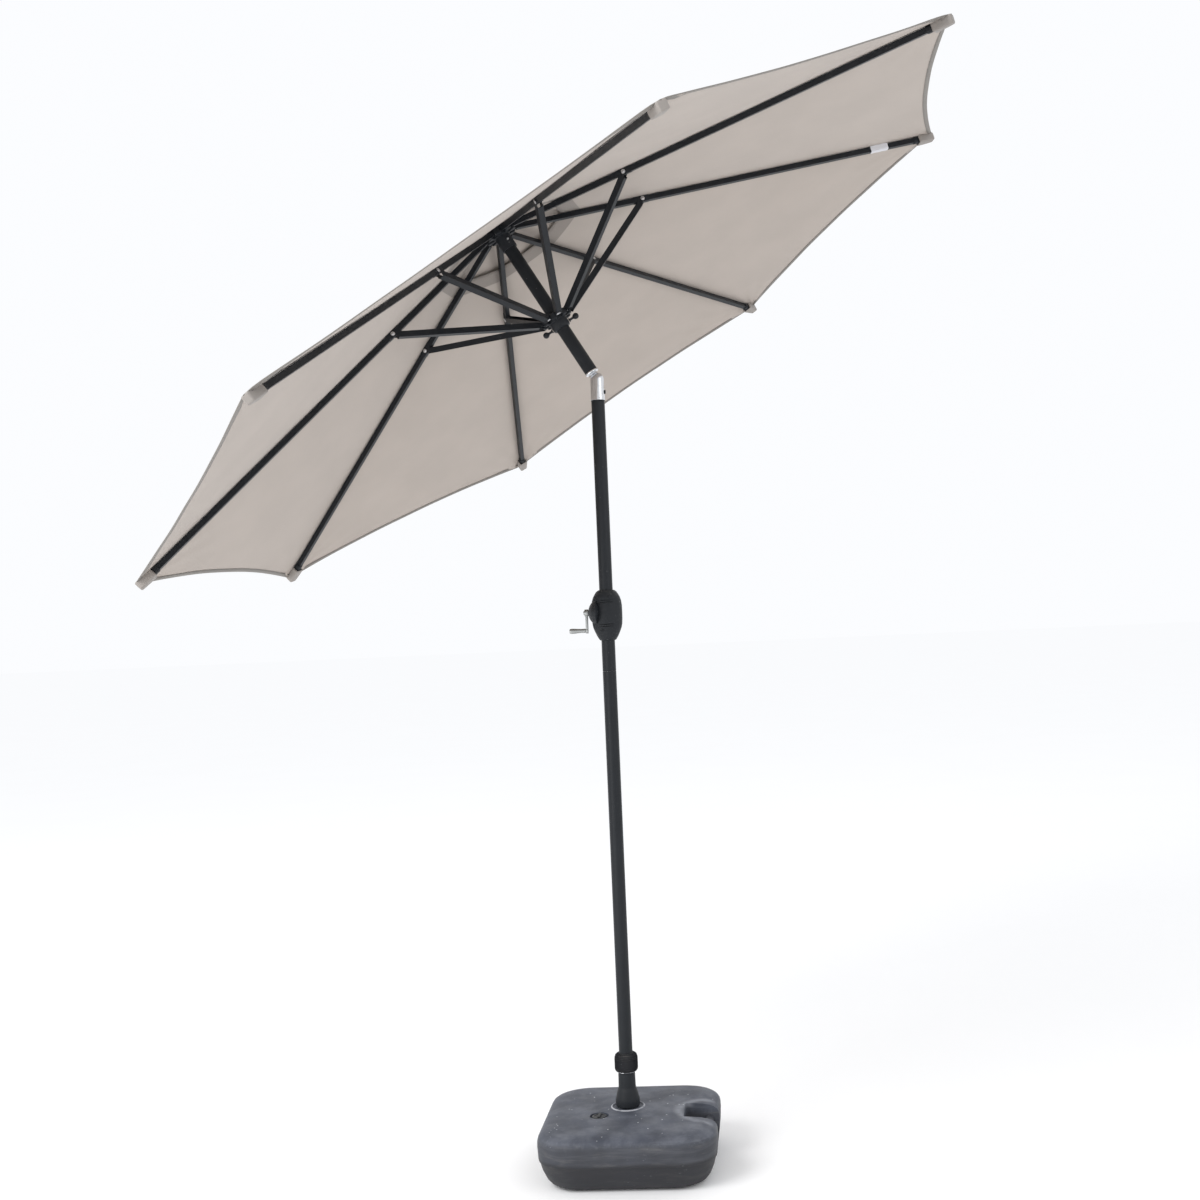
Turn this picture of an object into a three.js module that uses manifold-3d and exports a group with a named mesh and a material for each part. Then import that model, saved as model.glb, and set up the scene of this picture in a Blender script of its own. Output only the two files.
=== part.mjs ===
// Patio umbrella with a water-filled base: a two-piece mast in a socket, a crank housing, a push-button
// tilt knuckle, and an eight-rib canopy whose struts run up and down the pole on a sliding runner.
// Millimetres, +Z up. The origin is on the mast's axis, on the ground.
import * as THREE from "three";
import { mergeVertices } from "three/addons/utils/BufferGeometryUtils.js";
import Module from "manifold-3d";

const wasm = await Module();
wasm.setup();

// ---- Driving dimensions ----
const RIBS = 8;
const RIB_STEP = (2 * Math.PI) / RIBS;
const RIB_START = THREE.MathUtils.degToRad(-26.8); // azimuth of the first rib in the canopy's frame
const RIB_LENGTH = 1355; // from the hub pin to the tip
const RIB_WIDTH = 14;
const RIB_HEIGHT = 15;
const RIB_WALL = 1.2;
const DROOP = THREE.MathUtils.degToRad(16); // how far the open ribs hang below square to the pole
const PIN_RADIUS = 40; // where the ribs and struts are pinned, from the pole's axis
const STRUT_SEAT = 399; // from the hub pin to the strut's rivet, along the rib
const RUNNER_DROP = 296; // runner pins below the hub pins, canopy open

const POLE_R = 19;
const POLE_WALL = 1.5;
const KNUCKLE_Z = 2183; // height of the tilt pin
const HUB_Z = 509; // hub pins above the tilt pin
const TILT = THREE.MathUtils.degToRad(30.8);
const SEAM_Z = 1359; // where the two mast tubes meet
const CRANK_Z = 1525;

const TANK_TOP = 153;
const TANK_WALL = 4;
const SOCKET_R = 24;
const NUT_Z = [251, 300];
const GAP = 0.3; // between pieces that touch
const ROUND = 24; // sides of a large round piece
const SMALL = 12; // sides of a small round piece

// ---- Materials ----
const finish = (color, roughness, metalness) =>
  new THREE.MeshStandardMaterial({ color, roughness, metalness });
const coated = finish(0x34373b, 0.45, 0.3);
const blackPlastic = finish(0x222428, 0.5, 0);
const chrome = finish(0xd8dadc, 0.12, 1);
const greyResin = finish(0x5d6068, 0.7, 0);
const canvas = finish(0xc3b9ae, 0.9, 0);
const steel = finish(0xb5b5b8, 0.35, 0.9);
const ballast = finish(0x8fa3ad, 0.6, 0);

// ---- Solids ----
// A closed geometry as a manifold solid, turned to face outwards.
function solid(geometry) {
  const g = geometry.index ? geometry.toNonIndexed() : geometry.clone();
  g.deleteAttribute("normal");
  g.deleteAttribute("uv");
  const merged = mergeVertices(g, 1e-4);
  const make = (triVerts) =>
    new wasm.Manifold(
      new wasm.Mesh({
        numProp: 3,
        vertProperties: merged.attributes.position.array,
        triVerts,
      }),
    );
  const made = make(new Uint32Array(merged.index.array));
  return made.volume() < 0
    ? make(new Uint32Array(merged.index.array).reverse())
    : made;
}

function geometryOf(made) {
  const m = made.getMesh();
  const v = new Float32Array(m.numVert * 3);
  for (let i = 0; i < m.numVert; i++)
    v.set(m.vertProperties.subarray(i * m.numProp, i * m.numProp + 3), i * 3);
  return new THREE.BufferGeometry()
    .setAttribute("position", new THREE.BufferAttribute(v, 3))
    .setIndex(new THREE.BufferAttribute(new Uint32Array(m.triVerts), 1));
}

const box = (x, y, z, at = [0, 0, 0]) =>
  solid(new THREE.BoxGeometry(x, y, z)).translate(at);

// A round bar of radius r and length h, centred at `at`, along the axis "x", "y" or "z".
function bar(r, h, axis = "z", at = [0, 0, 0], sides = SMALL) {
  const g = new THREE.CylinderGeometry(r, r, h, sides);
  if (axis === "z") g.rotateX(Math.PI / 2);
  if (axis === "x") g.rotateZ(Math.PI / 2);
  return solid(g).translate(at);
}

// A turned piece: [radius, height] points, closed on the axis or on themselves.
function turned(profile, sides = ROUND) {
  const points = profile.map(([r, z]) => new THREE.Vector2(r, z));
  return solid(new THREE.LatheGeometry(points, sides).rotateX(Math.PI / 2));
}

const tube = (r, bore, z0, z1, sides = ROUND) =>
  turned(
    [
      [bore, z0],
      [r, z0],
      [r, z1],
      [bore, z1],
      [bore, z0],
    ],
    sides,
  );

// A skin over rings of points that all have the same count, with flat ends.
function loft(rings) {
  const n = rings[0].length;
  const points = rings.flat();
  const first = points.length;
  const middle = (ring) =>
    ring.reduce((s, p) => s.add(p), new THREE.Vector3()).divideScalar(n);
  points.push(middle(rings[0]), middle(rings[rings.length - 1]));
  const index = [];
  for (let i = 0; i + 1 < rings.length; i++)
    for (let j = 0; j < n; j++) {
      const a = i * n + j;
      const b = i * n + ((j + 1) % n);
      index.push(a, b, b + n, a, b + n, a + n);
    }
  const last = (rings.length - 1) * n;
  for (let j = 0; j < n; j++) {
    index.push(first, (j + 1) % n, j);
    index.push(first + 1, last + j, last + ((j + 1) % n));
  }
  return solid(
    new THREE.BufferGeometry().setFromPoints(points).setIndex(index),
  );
}

// A rounded rectangle, or an ellipse where the corner takes it all, at height z.
function roundedRing(x, y, z, power, count, centre = [0, 0]) {
  const ring = [];
  for (let i = 0; i < count; i++) {
    const a = (2 * Math.PI * i) / count;
    const c = Math.cos(a);
    const s = Math.sin(a);
    const k = (Math.abs(c) ** power + Math.abs(s) ** power) ** (-1 / power);
    ring.push(
      new THREE.Vector3(centre[0] + x * c * k, centre[1] + y * s * k, z),
    );
  }
  return ring;
}

function mesh(name, made, material) {
  const m = new THREE.Mesh(geometryOf(made), material);
  m.name = name;
  return m;
}

const root = new THREE.Group();

// ---- Base: blow-moulded tank, its water, socket, clamp nut and filler plug ----
const TANK_CENTRE = [10, -11];
const TANK_SECTIONS = [
  // half width, half depth, height
  [196, 189, 0],
  [214, 208, 14],
  [234, 227, 62],
  [242, 234, 104],
  [236, 228, 124],
  [222, 213, 139],
  [196, 187, 149],
  [150, 140, TANK_TOP],
];
const FILLER = { x: -72, y: -74, r: 26, depth: 10, neck: 15 };
const HOLD = { x: 196, y: -38, wide: 112, deep: 74, floor: 72 };
const HOLD_BAR = { x: 236, z: 106, r: 12 };
const WELL_R = SOCKET_R + 0.6;
const FLOOR = 5; // of the well

function tankBody(inset) {
  const rings = TANK_SECTIONS.map(([x, y, z]) => {
    const height = THREE.MathUtils.clamp(z, inset, TANK_TOP - inset);
    return roundedRing(x - inset, y - inset, height, 4, 36, TANK_CENTRE);
  });
  return loft(inset ? rings.filter((r, i) => !i || r[0].z > rings[i - 1][0].z) : rings);
}

// The hand hold is a pocket in the right-hand edge, grown by `wall` for the skin round it.
const holdPocket = (wall) =>
  box(
    HOLD.deep + 2 * wall + 60,
    HOLD.wide + 2 * wall,
    TANK_TOP - HOLD.floor + wall + 20,
    [HOLD.x + 30, HOLD.y, (TANK_TOP + HOLD.floor - wall + 20) / 2],
  );

function tank() {
  const inside = tankBody(TANK_WALL)
    .subtract(bar(WELL_R + TANK_WALL, 400, "z", [0, 0, 0], ROUND))
    .subtract(holdPocket(TANK_WALL))
    .subtract(
      bar(FILLER.r + TANK_WALL, 2 * (FILLER.depth + TANK_WALL), "z", [
        FILLER.x,
        FILLER.y,
        TANK_TOP,
      ]),
    );
  const grip = bar(HOLD_BAR.r, HOLD.wide + 20, "y", [
    HOLD_BAR.x - 12,
    HOLD.y,
    HOLD_BAR.z,
  ]);
  const rim = tube(50, 44, TANK_TOP - 3, TANK_TOP + 1.5);
  return tankBody(0)
    .subtract(holdPocket(0))
    .add(grip.intersect(tankBody(0)))
    .add(rim)
    .subtract(inside)
    .subtract(bar(WELL_R, 400, "z", [0, 0, 200 + FLOOR], ROUND))
    .subtract(
      bar(FILLER.r, 2 * FILLER.depth, "z", [FILLER.x, FILLER.y, TANK_TOP], ROUND),
    )
    .subtract(bar(FILLER.neck, 80, "z", [FILLER.x, FILLER.y, TANK_TOP]));
}

function water() {
  return tankBody(TANK_WALL + 1)
    .subtract(bar(WELL_R + TANK_WALL + 1, 400, "z", [0, 0, 0], ROUND))
    .subtract(holdPocket(TANK_WALL + 1))
    .subtract(bar(FILLER.r + 8, 60, "z", [FILLER.x, FILLER.y, TANK_TOP]));
}

// The plug screws into the neck; its ribbed head lies in the round recess.
function fillerPlug() {
  const low = TANK_TOP - FILLER.depth + GAP;
  const head = turned(
    [
      [0, low - 14],
      [FILLER.neck - 1, low - 14],
      [FILLER.neck - 1, low],
      [21, low],
      [21, low + 7],
      [19, low + 9],
      [0, low + 9],
    ],
    ROUND,
  ).translate([FILLER.x, FILLER.y, 0]);
  const slot = box(30, 5, 6, [FILLER.x, FILLER.y, low + 9]);
  return head.subtract(slot);
}

// The socket stands in the tank's well and ends in a split, threaded mouth under the nut.
function socket() {
  return turned([
    [0, 6],
    [SOCKET_R, 6],
    [SOCKET_R, TANK_TOP + 2],
    [31, TANK_TOP + 2],
    [33.5, TANK_TOP + 12],
    [33, TANK_TOP + 24],
    [28, TANK_TOP + 44],
    [24, TANK_TOP + 54],
    [23.2, TANK_TOP + 58],
    [21.8, NUT_Z[0] + 4],
    [21.8, NUT_Z[1] - 16],
    [POLE_R + 0.5, NUT_Z[1] - 16],
    [POLE_R + 0.5, 12],
    [0, 12],
  ]);
}

function clampNut() {
  const body = turned([
    [22.3, NUT_Z[0]],
    [29, NUT_Z[0]],
    [32, NUT_Z[0] + 5],
    [32.5, NUT_Z[1] - 14],
    [30, NUT_Z[1] - 5],
    [23, NUT_Z[1]],
    [POLE_R + 0.5, NUT_Z[1]],
    [POLE_R + 0.5, NUT_Z[1] - 15],
    [22.3, NUT_Z[1] - 15],
    [22.3, NUT_Z[0]],
  ]);
  const grips = 12;
  let made = body;
  for (let i = 0; i < grips; i++) {
    const a = (2 * Math.PI * i) / grips;
    made = made.subtract(
      bar(3, 30, "z", [34 * Math.cos(a), 34 * Math.sin(a), NUT_Z[0] + 19], 8),
    );
  }
  return made;
}

root.add(
  mesh("base_tank", tank(), greyResin),
  mesh("base_water", water(), ballast),
  mesh("filler_plug", fillerPlug(), blackPlastic),
  mesh("base_socket", socket(), blackPlastic),
  mesh("clamp_nut", clampNut(), blackPlastic),
);

// ---- Mast: lower tube, crank tube, crank housing ----
const BORE = POLE_R - POLE_WALL;
const SHAFT_R = 4;

function crankTube() {
  const spigot = tube(BORE - GAP, BORE - 2.3, SEAM_Z - 90, SEAM_Z + 1);
  return tube(POLE_R, BORE, SEAM_Z, KNUCKLE_Z - 60)
    .add(tube(BORE + 0.1, BORE - 2.3, SEAM_Z, SEAM_Z + 20))
    .add(spigot)
    .subtract(bar(SHAFT_R + 0.6, 60, "x", [0, 0, CRANK_Z]));
}

const HOUSING_SECTIONS = [
  // half width, half depth, height from the crank's axis
  [23, 23, -79],
  [30, 28, -68],
  [40, 35, -44],
  [43, 38, -24],
  [43, 38, 18],
  [38, 35, 42],
  [30, 28, 56],
  [23, 23, 62],
];
const BOSS = { x: -50, r: 22, flat: 0.65 };

function housingBody(inset) {
  return loft(
    HOUSING_SECTIONS.map(([x, y, z]) =>
      roundedRing(
        x - inset,
        y - inset,
        CRANK_Z + Math.sign(z) * (Math.abs(z) - inset * 1.5),
        2.6,
        ROUND,
      ),
    ),
  );
}

function housing(side) {
  const profile = [
    [0, 12],
    [57, 28],
    [47, 39],
    [34, 46],
    [BOSS.r, -BOSS.x],
    [0, -BOSS.x],
  ];
  const boss = turned(profile, 20)
    .rotate([0, -90, 0])
    .scale([1, BOSS.flat, 1])
    .translate([0, 0, CRANK_Z]);
  const whole = housingBody(0)
    .add(boss)
    .subtract(housingBody(2.5))
    .subtract(bar(POLE_R + 0.4, 400, "z", [0, 0, CRANK_Z], ROUND))
    .subtract(bar(SHAFT_R + 0.6, 80, "x", [BOSS.x, 0, CRANK_Z]));
  const half = box(200, 100, 300, [0, side * (50 + GAP / 2), CRANK_Z]);
  return whole.intersect(half);
}

const SPOOL = { r: 12, core: 8, half: 9 };
const CRANK = { arm: 50, x: BOSS.x - 8, thick: 7 };

function spool() {
  const profile = turned(
    [
      [0, -SPOOL.half],
      [SPOOL.r, -SPOOL.half],
      [SPOOL.r, -SPOOL.half + 2],
      [SPOOL.core, -SPOOL.half + 2],
      [SPOOL.core, SPOOL.half - 2],
      [SPOOL.r, SPOOL.half - 2],
      [SPOOL.r, SPOOL.half],
      [0, SPOOL.half],
    ],
    SMALL,
  ).rotate([0, 90, 0]);
  return profile
    .add(bar(SHAFT_R, 20 - CRANK.x, "x", [(CRANK.x + 20) / 2, 0, 0]))
    .translate([0, 0, CRANK_Z]);
}

// The arm is a flat bar from the shaft down to the knob's pin.
function crankArm() {
  const x = CRANK.x;
  const low = CRANK_Z - CRANK.arm;
  return box(CRANK.thick, 14, CRANK.arm, [x, 0, CRANK_Z - CRANK.arm / 2])
    .add(bar(10, CRANK.thick + 4, "x", [x, 0, CRANK_Z]))
    .add(bar(8, CRANK.thick, "x", [x, 0, low]))
    .add(bar(3, 44, "x", [x - 22, 0, low]))
    .subtract(bar(SHAFT_R + 0.1, 30, "x", [x, 0, CRANK_Z]));
}

function crankKnob() {
  const from = CRANK.thick / 2 + 0.6;
  return turned(
    [
      [3.4, from],
      [6, from],
      [6.5, from + 3],
      [5.8, from + 14],
      [7.4, from + 38],
      [6, from + 46],
      [3.4, from + 46],
      [3.4, from],
    ],
    SMALL,
  )
    .rotate([0, -90, 0])
    .translate([CRANK.x, 0, CRANK_Z - CRANK.arm]);
}

root.add(
  mesh("lower_pole", tube(POLE_R, BORE, 13, SEAM_Z - GAP), coated),
  mesh("crank_pole", crankTube(), coated),
  mesh("crank_housing_front", housing(-1), blackPlastic),
  mesh("crank_housing_back", housing(1), blackPlastic),
  mesh("cord_spool", spool(), steel),
  mesh("crank_arm", crankArm(), chrome),
  mesh("crank_knob", crankKnob(), chrome),
);

// ---- Tilt knuckle: chrome fork below, tongue above, pin across, button in the fork's side ----
const FORK_R = 20;
const TONGUE = 13;
const PIN_R = 4;
const BUTTON = { z: -34, r: 6 };

function fork() {
  const shell = turned([
    [0, -59],
    [BORE - 0.3, -59],
    [BORE - 0.3, -58],
    [FORK_R, -58],
    [FORK_R, 4],
    [18, 12],
    [12, 19],
    [0, 21],
  ]);
  return shell
    .add(bar(BORE - 0.3, 30, "z", [0, 0, -73], ROUND))
    .subtract(box(60, TONGUE + 1, 60, [0, 0, 3]))
    .subtract(bar(PIN_R + 0.05, 60, "y"))
    .subtract(bar(BUTTON.r + 0.4, 30, "x", [16, 0, BUTTON.z]));
}

// The lowest point of the tongue is round, so it turns in the fork's slot.
function tongue() {
  return bar(17, TONGUE, "y", [0, 0, 0], ROUND)
    .add(box(26, TONGUE, 24, [0, 0, 14]))
    .add(turned([
      [0, 24],
      [FORK_R, 24],
      [FORK_R, 30],
      [BORE - 0.3, 30],
      [BORE - 0.3, 62],
      [0, 62],
    ]))
    .subtract(bar(PIN_R + 0.3, 60, "y"));
}

function button() {
  return turned(
    [
      [0, 4],
      [BUTTON.r, 4],
      [BUTTON.r, FORK_R + 1],
      [BUTTON.r - 1.5, FORK_R + 3],
      [0, FORK_R + 3],
    ],
    SMALL,
  )
    .rotate([0, 90, 0])
    .translate([0, 0, BUTTON.z]);
}

const knuckle = new THREE.Group();
knuckle.position.z = KNUCKLE_Z;
knuckle.add(
  mesh("tilt_fork", fork(), chrome),
  mesh("tilt_pin", bar(PIN_R, 2 * FORK_R - 3, "y"), steel),
  mesh("tilt_button", button(), blackPlastic),
);
root.add(knuckle);

// ---- Canopy: everything that tilts, drawn upright from the tilt pin ----
const canopy = new THREE.Group();
canopy.position.z = KNUCKLE_Z;
canopy.rotation.y = -TILT;
root.add(canopy);

const POLE_TOP = HUB_Z + 4;
const SLOT_RIB = RIB_WIDTH + 1.2;
const STRUT_WIDTH = 17.6;
const STRUT_HEIGHT = 13;
const STRUT_WALL = 1.2;
const STRUT_DEEP = 4; // between its ends the channel is this much deeper
const SLOT_STRUT = STRUT_WIDTH + 1.2;
const CROWN_R = 47;
const ribAngle = (k) => RIB_START + k * RIB_STEP;

// A notched crown: a disc with one slot and one cross pin for each arm.
function crown(disc, slotWidth, slotFrom, pinR) {
  let made = disc;
  for (let k = 0; k < RIBS; k++) {
    const turn = THREE.MathUtils.radToDeg(ribAngle(k));
    const slot = box(60, slotWidth, 80, [slotFrom + 30, 0, 0]).rotate([0, 0, turn]);
    made = made.subtract(slot);
  }
  for (let k = 0; k < RIBS; k++) {
    const turn = THREE.MathUtils.radToDeg(ribAngle(k));
    const pin = bar(pinR, slotWidth + 4, "y", [PIN_RADIUS, 0, 0], 8).rotate([0, 0, turn]);
    made = made.add(pin);
  }
  return made;
}

const PULLEY = { r: 10, z: 18 };

function topHub() {
  const disc = turned([
    [0, -11],
    [CROWN_R - 2, -11],
    [CROWN_R, -8],
    [CROWN_R, 9],
    [CROWN_R - 3, 12],
    [24, 12],
    [22, 30],
    [0, 30],
  ]);
  const sleeve = turned([
    [0, -54],
    [22.5, -54],
    [23, -11],
    [23, -10],
    [0, -10],
  ]);
  return crown(disc, SLOT_RIB, 25, 2.4)
    .add(sleeve)
    .subtract(bar(POLE_R + 0.2, 65, "z", [0, 0, -27.5], ROUND))
    .subtract(box(24, 9, 26, [0, 0, PULLEY.z]))
    .subtract(bar(6, 40, "z", [0, 0, 5]))
    .translate([0, 0, HUB_Z]);
}

const RUNNER_LOW = -34;
const PEG = { z: -24.5, r: 3.5, ball: 9, out: 50 };

function runner() {
  const disc = turned([
    [0, -9],
    [CROWN_R - 2, -9],
    [CROWN_R, -7],
    [CROWN_R, 7],
    [CROWN_R - 2, 9],
    [27, 10],
    [26, 16],
    [0, 16],
  ]);
  const sleeve = turned([
    [0, RUNNER_LOW],
    [24, RUNNER_LOW],
    [26, RUNNER_LOW + 3],
    [27, -9],
    [27, -8],
    [0, -8],
  ]);
  return crown(disc, SLOT_STRUT, 28.5, 2.4)
    .add(sleeve)
    .subtract(bar(POLE_R + 0.5, 90, "z", [0, 0, 0], ROUND))
    .translate([0, 0, HUB_Z - RUNNER_DROP]);
}

// A short peg with a ball end, on the runner's lower sleeve.
function peg(side) {
  const inner = 27.3;
  const ball = solid(new THREE.SphereGeometry(PEG.ball, 10, 7));
  return bar(PEG.r, PEG.out - inner, "x", [(PEG.out + inner) / 2, 0, 0], 12)
    .add(bar(6, 3, "x", [inner + 1.5, 0, 0], 12))
    .add(ball.translate([PEG.out, 0, 0]))
    .rotate([0, 0, side > 0 ? 0 : 180])
    .translate([0, 0, HUB_Z - RUNNER_DROP + PEG.z]);
}

const pulley = turned(
  [
    [1.8, -3],
    [PULLEY.r, -3],
    [PULLEY.r - 2.5, 0],
    [PULLEY.r, 3],
    [1.8, 3],
    [1.8, -3],
  ],
  24,
)
  .rotate([90, 0, 0])
  .translate([0, 0, HUB_Z + PULLEY.z]);
const pulleyPin = bar(1.5, 26, "y", [0, 0, HUB_Z + PULLEY.z]);
const topHubDrilled = topHub().subtract(bar(1.8, 30, "y", [0, 0, HUB_Z + PULLEY.z]));

canopy.add(
  mesh("tilt_tongue", tongue(), chrome),
  mesh("upper_pole", tube(POLE_R, BORE, 30 + GAP, POLE_TOP), coated),
  mesh("top_hub", topHubDrilled, blackPlastic),
  mesh("cord_pulley", pulley, steel),
  mesh("pulley_pin", pulleyPin, steel),
  mesh("runner", runner(), blackPlastic),
  mesh("runner_peg_right", peg(1), blackPlastic),
  mesh("runner_peg_left", peg(-1), blackPlastic),
);

// ---- Ribs, tips and struts: each drawn along +X, then turned to its azimuth ----
const TIP_FROM = RIB_LENGTH - 62;
const RIVET_R = 2.3;
const RIVET_HOLE = 4.7; // wide, so the linkage can run without closing exactly on the rivet

function rib() {
  const length = RIB_LENGTH - 36;
  const inner = [RIB_WIDTH - 2 * RIB_WALL, RIB_HEIGHT - 2 * RIB_WALL];
  return box(length, RIB_WIDTH, RIB_HEIGHT - 4, [length / 2, 0, 0])
    .add(box(length - 12, RIB_WIDTH, RIB_HEIGHT, [length / 2 + 6, 0, 0]))
    .add(bar(6.5, RIB_WIDTH, "y"))
    .subtract(box(length + 40, inner[0], inner[1], [length / 2, 0, 0]))
    .subtract(bar(2.8, 40, "y", [0, 0, 0], 8))
    .subtract(bar(RIVET_HOLE, 40, "y", [STRUT_SEAT, 0, 0], 10));
}

// A moulded cap over the rib's end, which the canopy's pocket pulls over.
function ribTip() {
  const high = RIB_HEIGHT / 2 + 2.4;
  const outer = loft([
    roundedRing(9, high - 0.5, TIP_FROM, 4, 16),
    roundedRing(9.5, high, TIP_FROM + 4, 4, 16),
    roundedRing(9.5, high, RIB_LENGTH - 16, 4, 16),
    roundedRing(7, 8, RIB_LENGTH - 5, 3, 16),
    roundedRing(3, 4, RIB_LENGTH, 2, 16),
  ]).rotate([0, 90, 0]);
  const mouth = RIB_LENGTH - 36 + GAP - TIP_FROM;
  return outer
    .rotate([90, 0, 0])
    .subtract(
      box(2 * mouth, RIB_WIDTH + 2 * GAP, RIB_HEIGHT + 2 * GAP, [TIP_FROM, 0, 0]),
    );
}

// A channel, open side up, whose end straddles the rib and carries the rivet.
function strut(length) {
  const wide = STRUT_WIDTH;
  const back = 16; // the web stops this far from each pivot
  const high = STRUT_HEIGHT;
  const clear = wide - 2 * STRUT_WALL;
  return box(length, wide, high, [length / 2, 0, 0])
    .add(bar(high / 2, wide, "y", [0, 0, 0], 8))
    .add(bar(high / 2, wide, "y", [length, 0, 0], 8))
    .add(box(length - 24, wide, high, [length / 2, 0, -STRUT_DEEP]))
    .subtract(
      box(length + 60, clear, 40, [length / 2, 0, 20 - high / 2 - STRUT_DEEP + STRUT_WALL]),
    )
    .subtract(box(2 * back, clear, 40))
    .subtract(box(2 * back, clear, 40, [length, 0, 0]))
    .subtract(bar(2.8, 40, "y", [0, 0, 0], 8))
    .add(bar(RIVET_R, wide + 2, "y", [length, 0, 0], 8));
}

const strutEnd = new THREE.Vector2(
  STRUT_SEAT * Math.cos(DROOP),
  RUNNER_DROP - STRUT_SEAT * Math.sin(DROOP),
);
const strutRise = Math.atan2(strutEnd.y, strutEnd.x);

function placed(made, name, material, height, pitch, k) {
  const arm = new THREE.Group();
  arm.rotation.z = ribAngle(k);
  const m = mesh(name, made, material);
  m.position.set(PIN_RADIUS, 0, height);
  m.rotation.y = pitch;
  arm.add(m);
  canopy.add(arm);
}

const ribSolid = rib();
const tipSolid = ribTip();
const strutSolid = strut(strutEnd.length());
for (let k = 0; k < RIBS; k++) {
  placed(ribSolid, `rib_${k + 1}`, coated, HUB_Z, DROOP, k);
  placed(tipSolid, `rib_tip_${k + 1}`, blackPlastic, HUB_Z, DROOP, k);
  placed(strutSolid, `strut_${k + 1}`, coated, HUB_Z - RUNNER_DROP, -strutRise, k);
}

// ---- Cloth: eight panels from rib to rib, and the vent's cap above them ----
const CLOTH = 1;
const CLOTH_LIFT = RIB_HEIGHT / 2 + 3.2; // underside of the cloth above the rib's centre line
const VENT_ALONG = 152; // the panels start here, from the hub pin
const CAP_R = 300;
const CAP_CLEAR = 7; // the cap's edge above the panels
const SCALLOP = 37;
const SEAM = 0.6;

// The point on rib line k, `along` mm from the hub pin and `lift` mm above the rib's centre line.
function onRib(k, along, lift) {
  const a = ribAngle(k);
  const r = PIN_RADIUS + along * Math.cos(DROOP) + lift * Math.sin(DROOP);
  const z = HUB_Z - along * Math.sin(DROOP) + lift * Math.cos(DROOP);
  return new THREE.Vector3(r * Math.cos(a), r * Math.sin(a), z);
}

// Rings across the panel, each a thin loop: along the top from rib to rib, and back underneath.
function panel(k) {
  const rows = 5;
  const across = 8;
  const rings = [];
  for (let i = 0; i <= rows; i++) {
    const v = i / rows;
    const loop = [[], []];
    for (let j = 0; j <= across; j++) {
      const u = j / across;
      const inset = v * SCALLOP * 4 * u * (1 - u);
      const along = VENT_ALONG + (RIB_LENGTH + 6 - VENT_ALONG) * v - inset;
      [CLOTH_LIFT + CLOTH, CLOTH_LIFT].forEach((lift, side) => {
        const a = onRib(k, along, lift);
        const b = onRib(k + 1, along, lift);
        const width = a.distanceTo(b);
        loop[side].push(a.lerp(b, SEAM / width + u * (1 - (2 * SEAM) / width)));
      });
    }
    rings.push([...loop[0], ...loop[1].reverse()]);
  }
  return loft(rings);
}

function ventCap() {
  const centre = HUB_Z + 34;
  const edge = onRib(0, (CAP_R - PIN_RADIUS) / Math.cos(DROOP), CLOTH_LIFT + CLOTH).z + CAP_CLEAR;
  const flat = 26; // clamped level under the finial
  const height = (r) => centre - ((centre - edge) * Math.max(0, r - flat)) / (CAP_R - flat);
  const ring = (r, lift) =>
    Array.from({ length: RIBS }, (_, n) => {
      const a = ribAngle(n);
      return new THREE.Vector3(r * Math.cos(a), r * Math.sin(a), height(r) + lift);
    });
  const under = [20, flat, 160, CAP_R].map((r) => ring(r, 0));
  const over = [CAP_R, 160, flat, 20].map((r) => ring(r, CLOTH));
  return loft([...under, ...over]).subtract(bar(12, 400, "z", [0, 0, HUB_Z]));
}

for (let k = 0; k < RIBS; k++)
  canopy.add(mesh(`canopy_panel_${k + 1}`, panel(k), canvas));

// ---- Finial: a low dome on a stud, which clamps the cap's centre ----
const finial = turned([
  [0, 30],
  [5, 30],
  [5, 34.6],
  [21, 34.6],
  [21, 36.4],
  [16, 38.4],
  [8, 39.8],
  [0, 40.2],
]).translate([0, 0, HUB_Z + 1.2]);

canopy.add(
  mesh("vent_cap", ventCap(), canvas),
  mesh("finial", finial, blackPlastic),
);

export default root;
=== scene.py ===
"""Patio umbrella with a fillable base: the finished look of every piece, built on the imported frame."""
import math

import bpy
from mathutils import Matrix, Vector, noise


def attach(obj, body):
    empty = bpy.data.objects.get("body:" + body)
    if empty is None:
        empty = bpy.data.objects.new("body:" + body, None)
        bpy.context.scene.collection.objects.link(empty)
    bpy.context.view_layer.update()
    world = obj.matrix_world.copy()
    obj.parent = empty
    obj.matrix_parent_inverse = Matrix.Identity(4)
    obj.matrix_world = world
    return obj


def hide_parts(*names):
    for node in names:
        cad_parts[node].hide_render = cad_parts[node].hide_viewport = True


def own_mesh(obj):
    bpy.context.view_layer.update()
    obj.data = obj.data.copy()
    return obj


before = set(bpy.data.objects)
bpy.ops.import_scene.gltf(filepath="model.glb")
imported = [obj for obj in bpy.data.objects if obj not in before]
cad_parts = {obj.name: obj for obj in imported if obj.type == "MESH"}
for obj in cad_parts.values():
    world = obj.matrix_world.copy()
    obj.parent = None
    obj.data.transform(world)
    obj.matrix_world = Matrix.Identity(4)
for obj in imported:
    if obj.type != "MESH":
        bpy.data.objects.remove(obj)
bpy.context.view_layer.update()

bl_info = {
    "name": "Patio Umbrella",
    "version": (1, 0, 0),
    "blender": (4, 5, 0),
    "location": "View3D > Sidebar > Umbrella",
    "description": "Builds a crank-and-tilt garden umbrella and its base piece by piece",
    "category": "Object",
}

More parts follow.
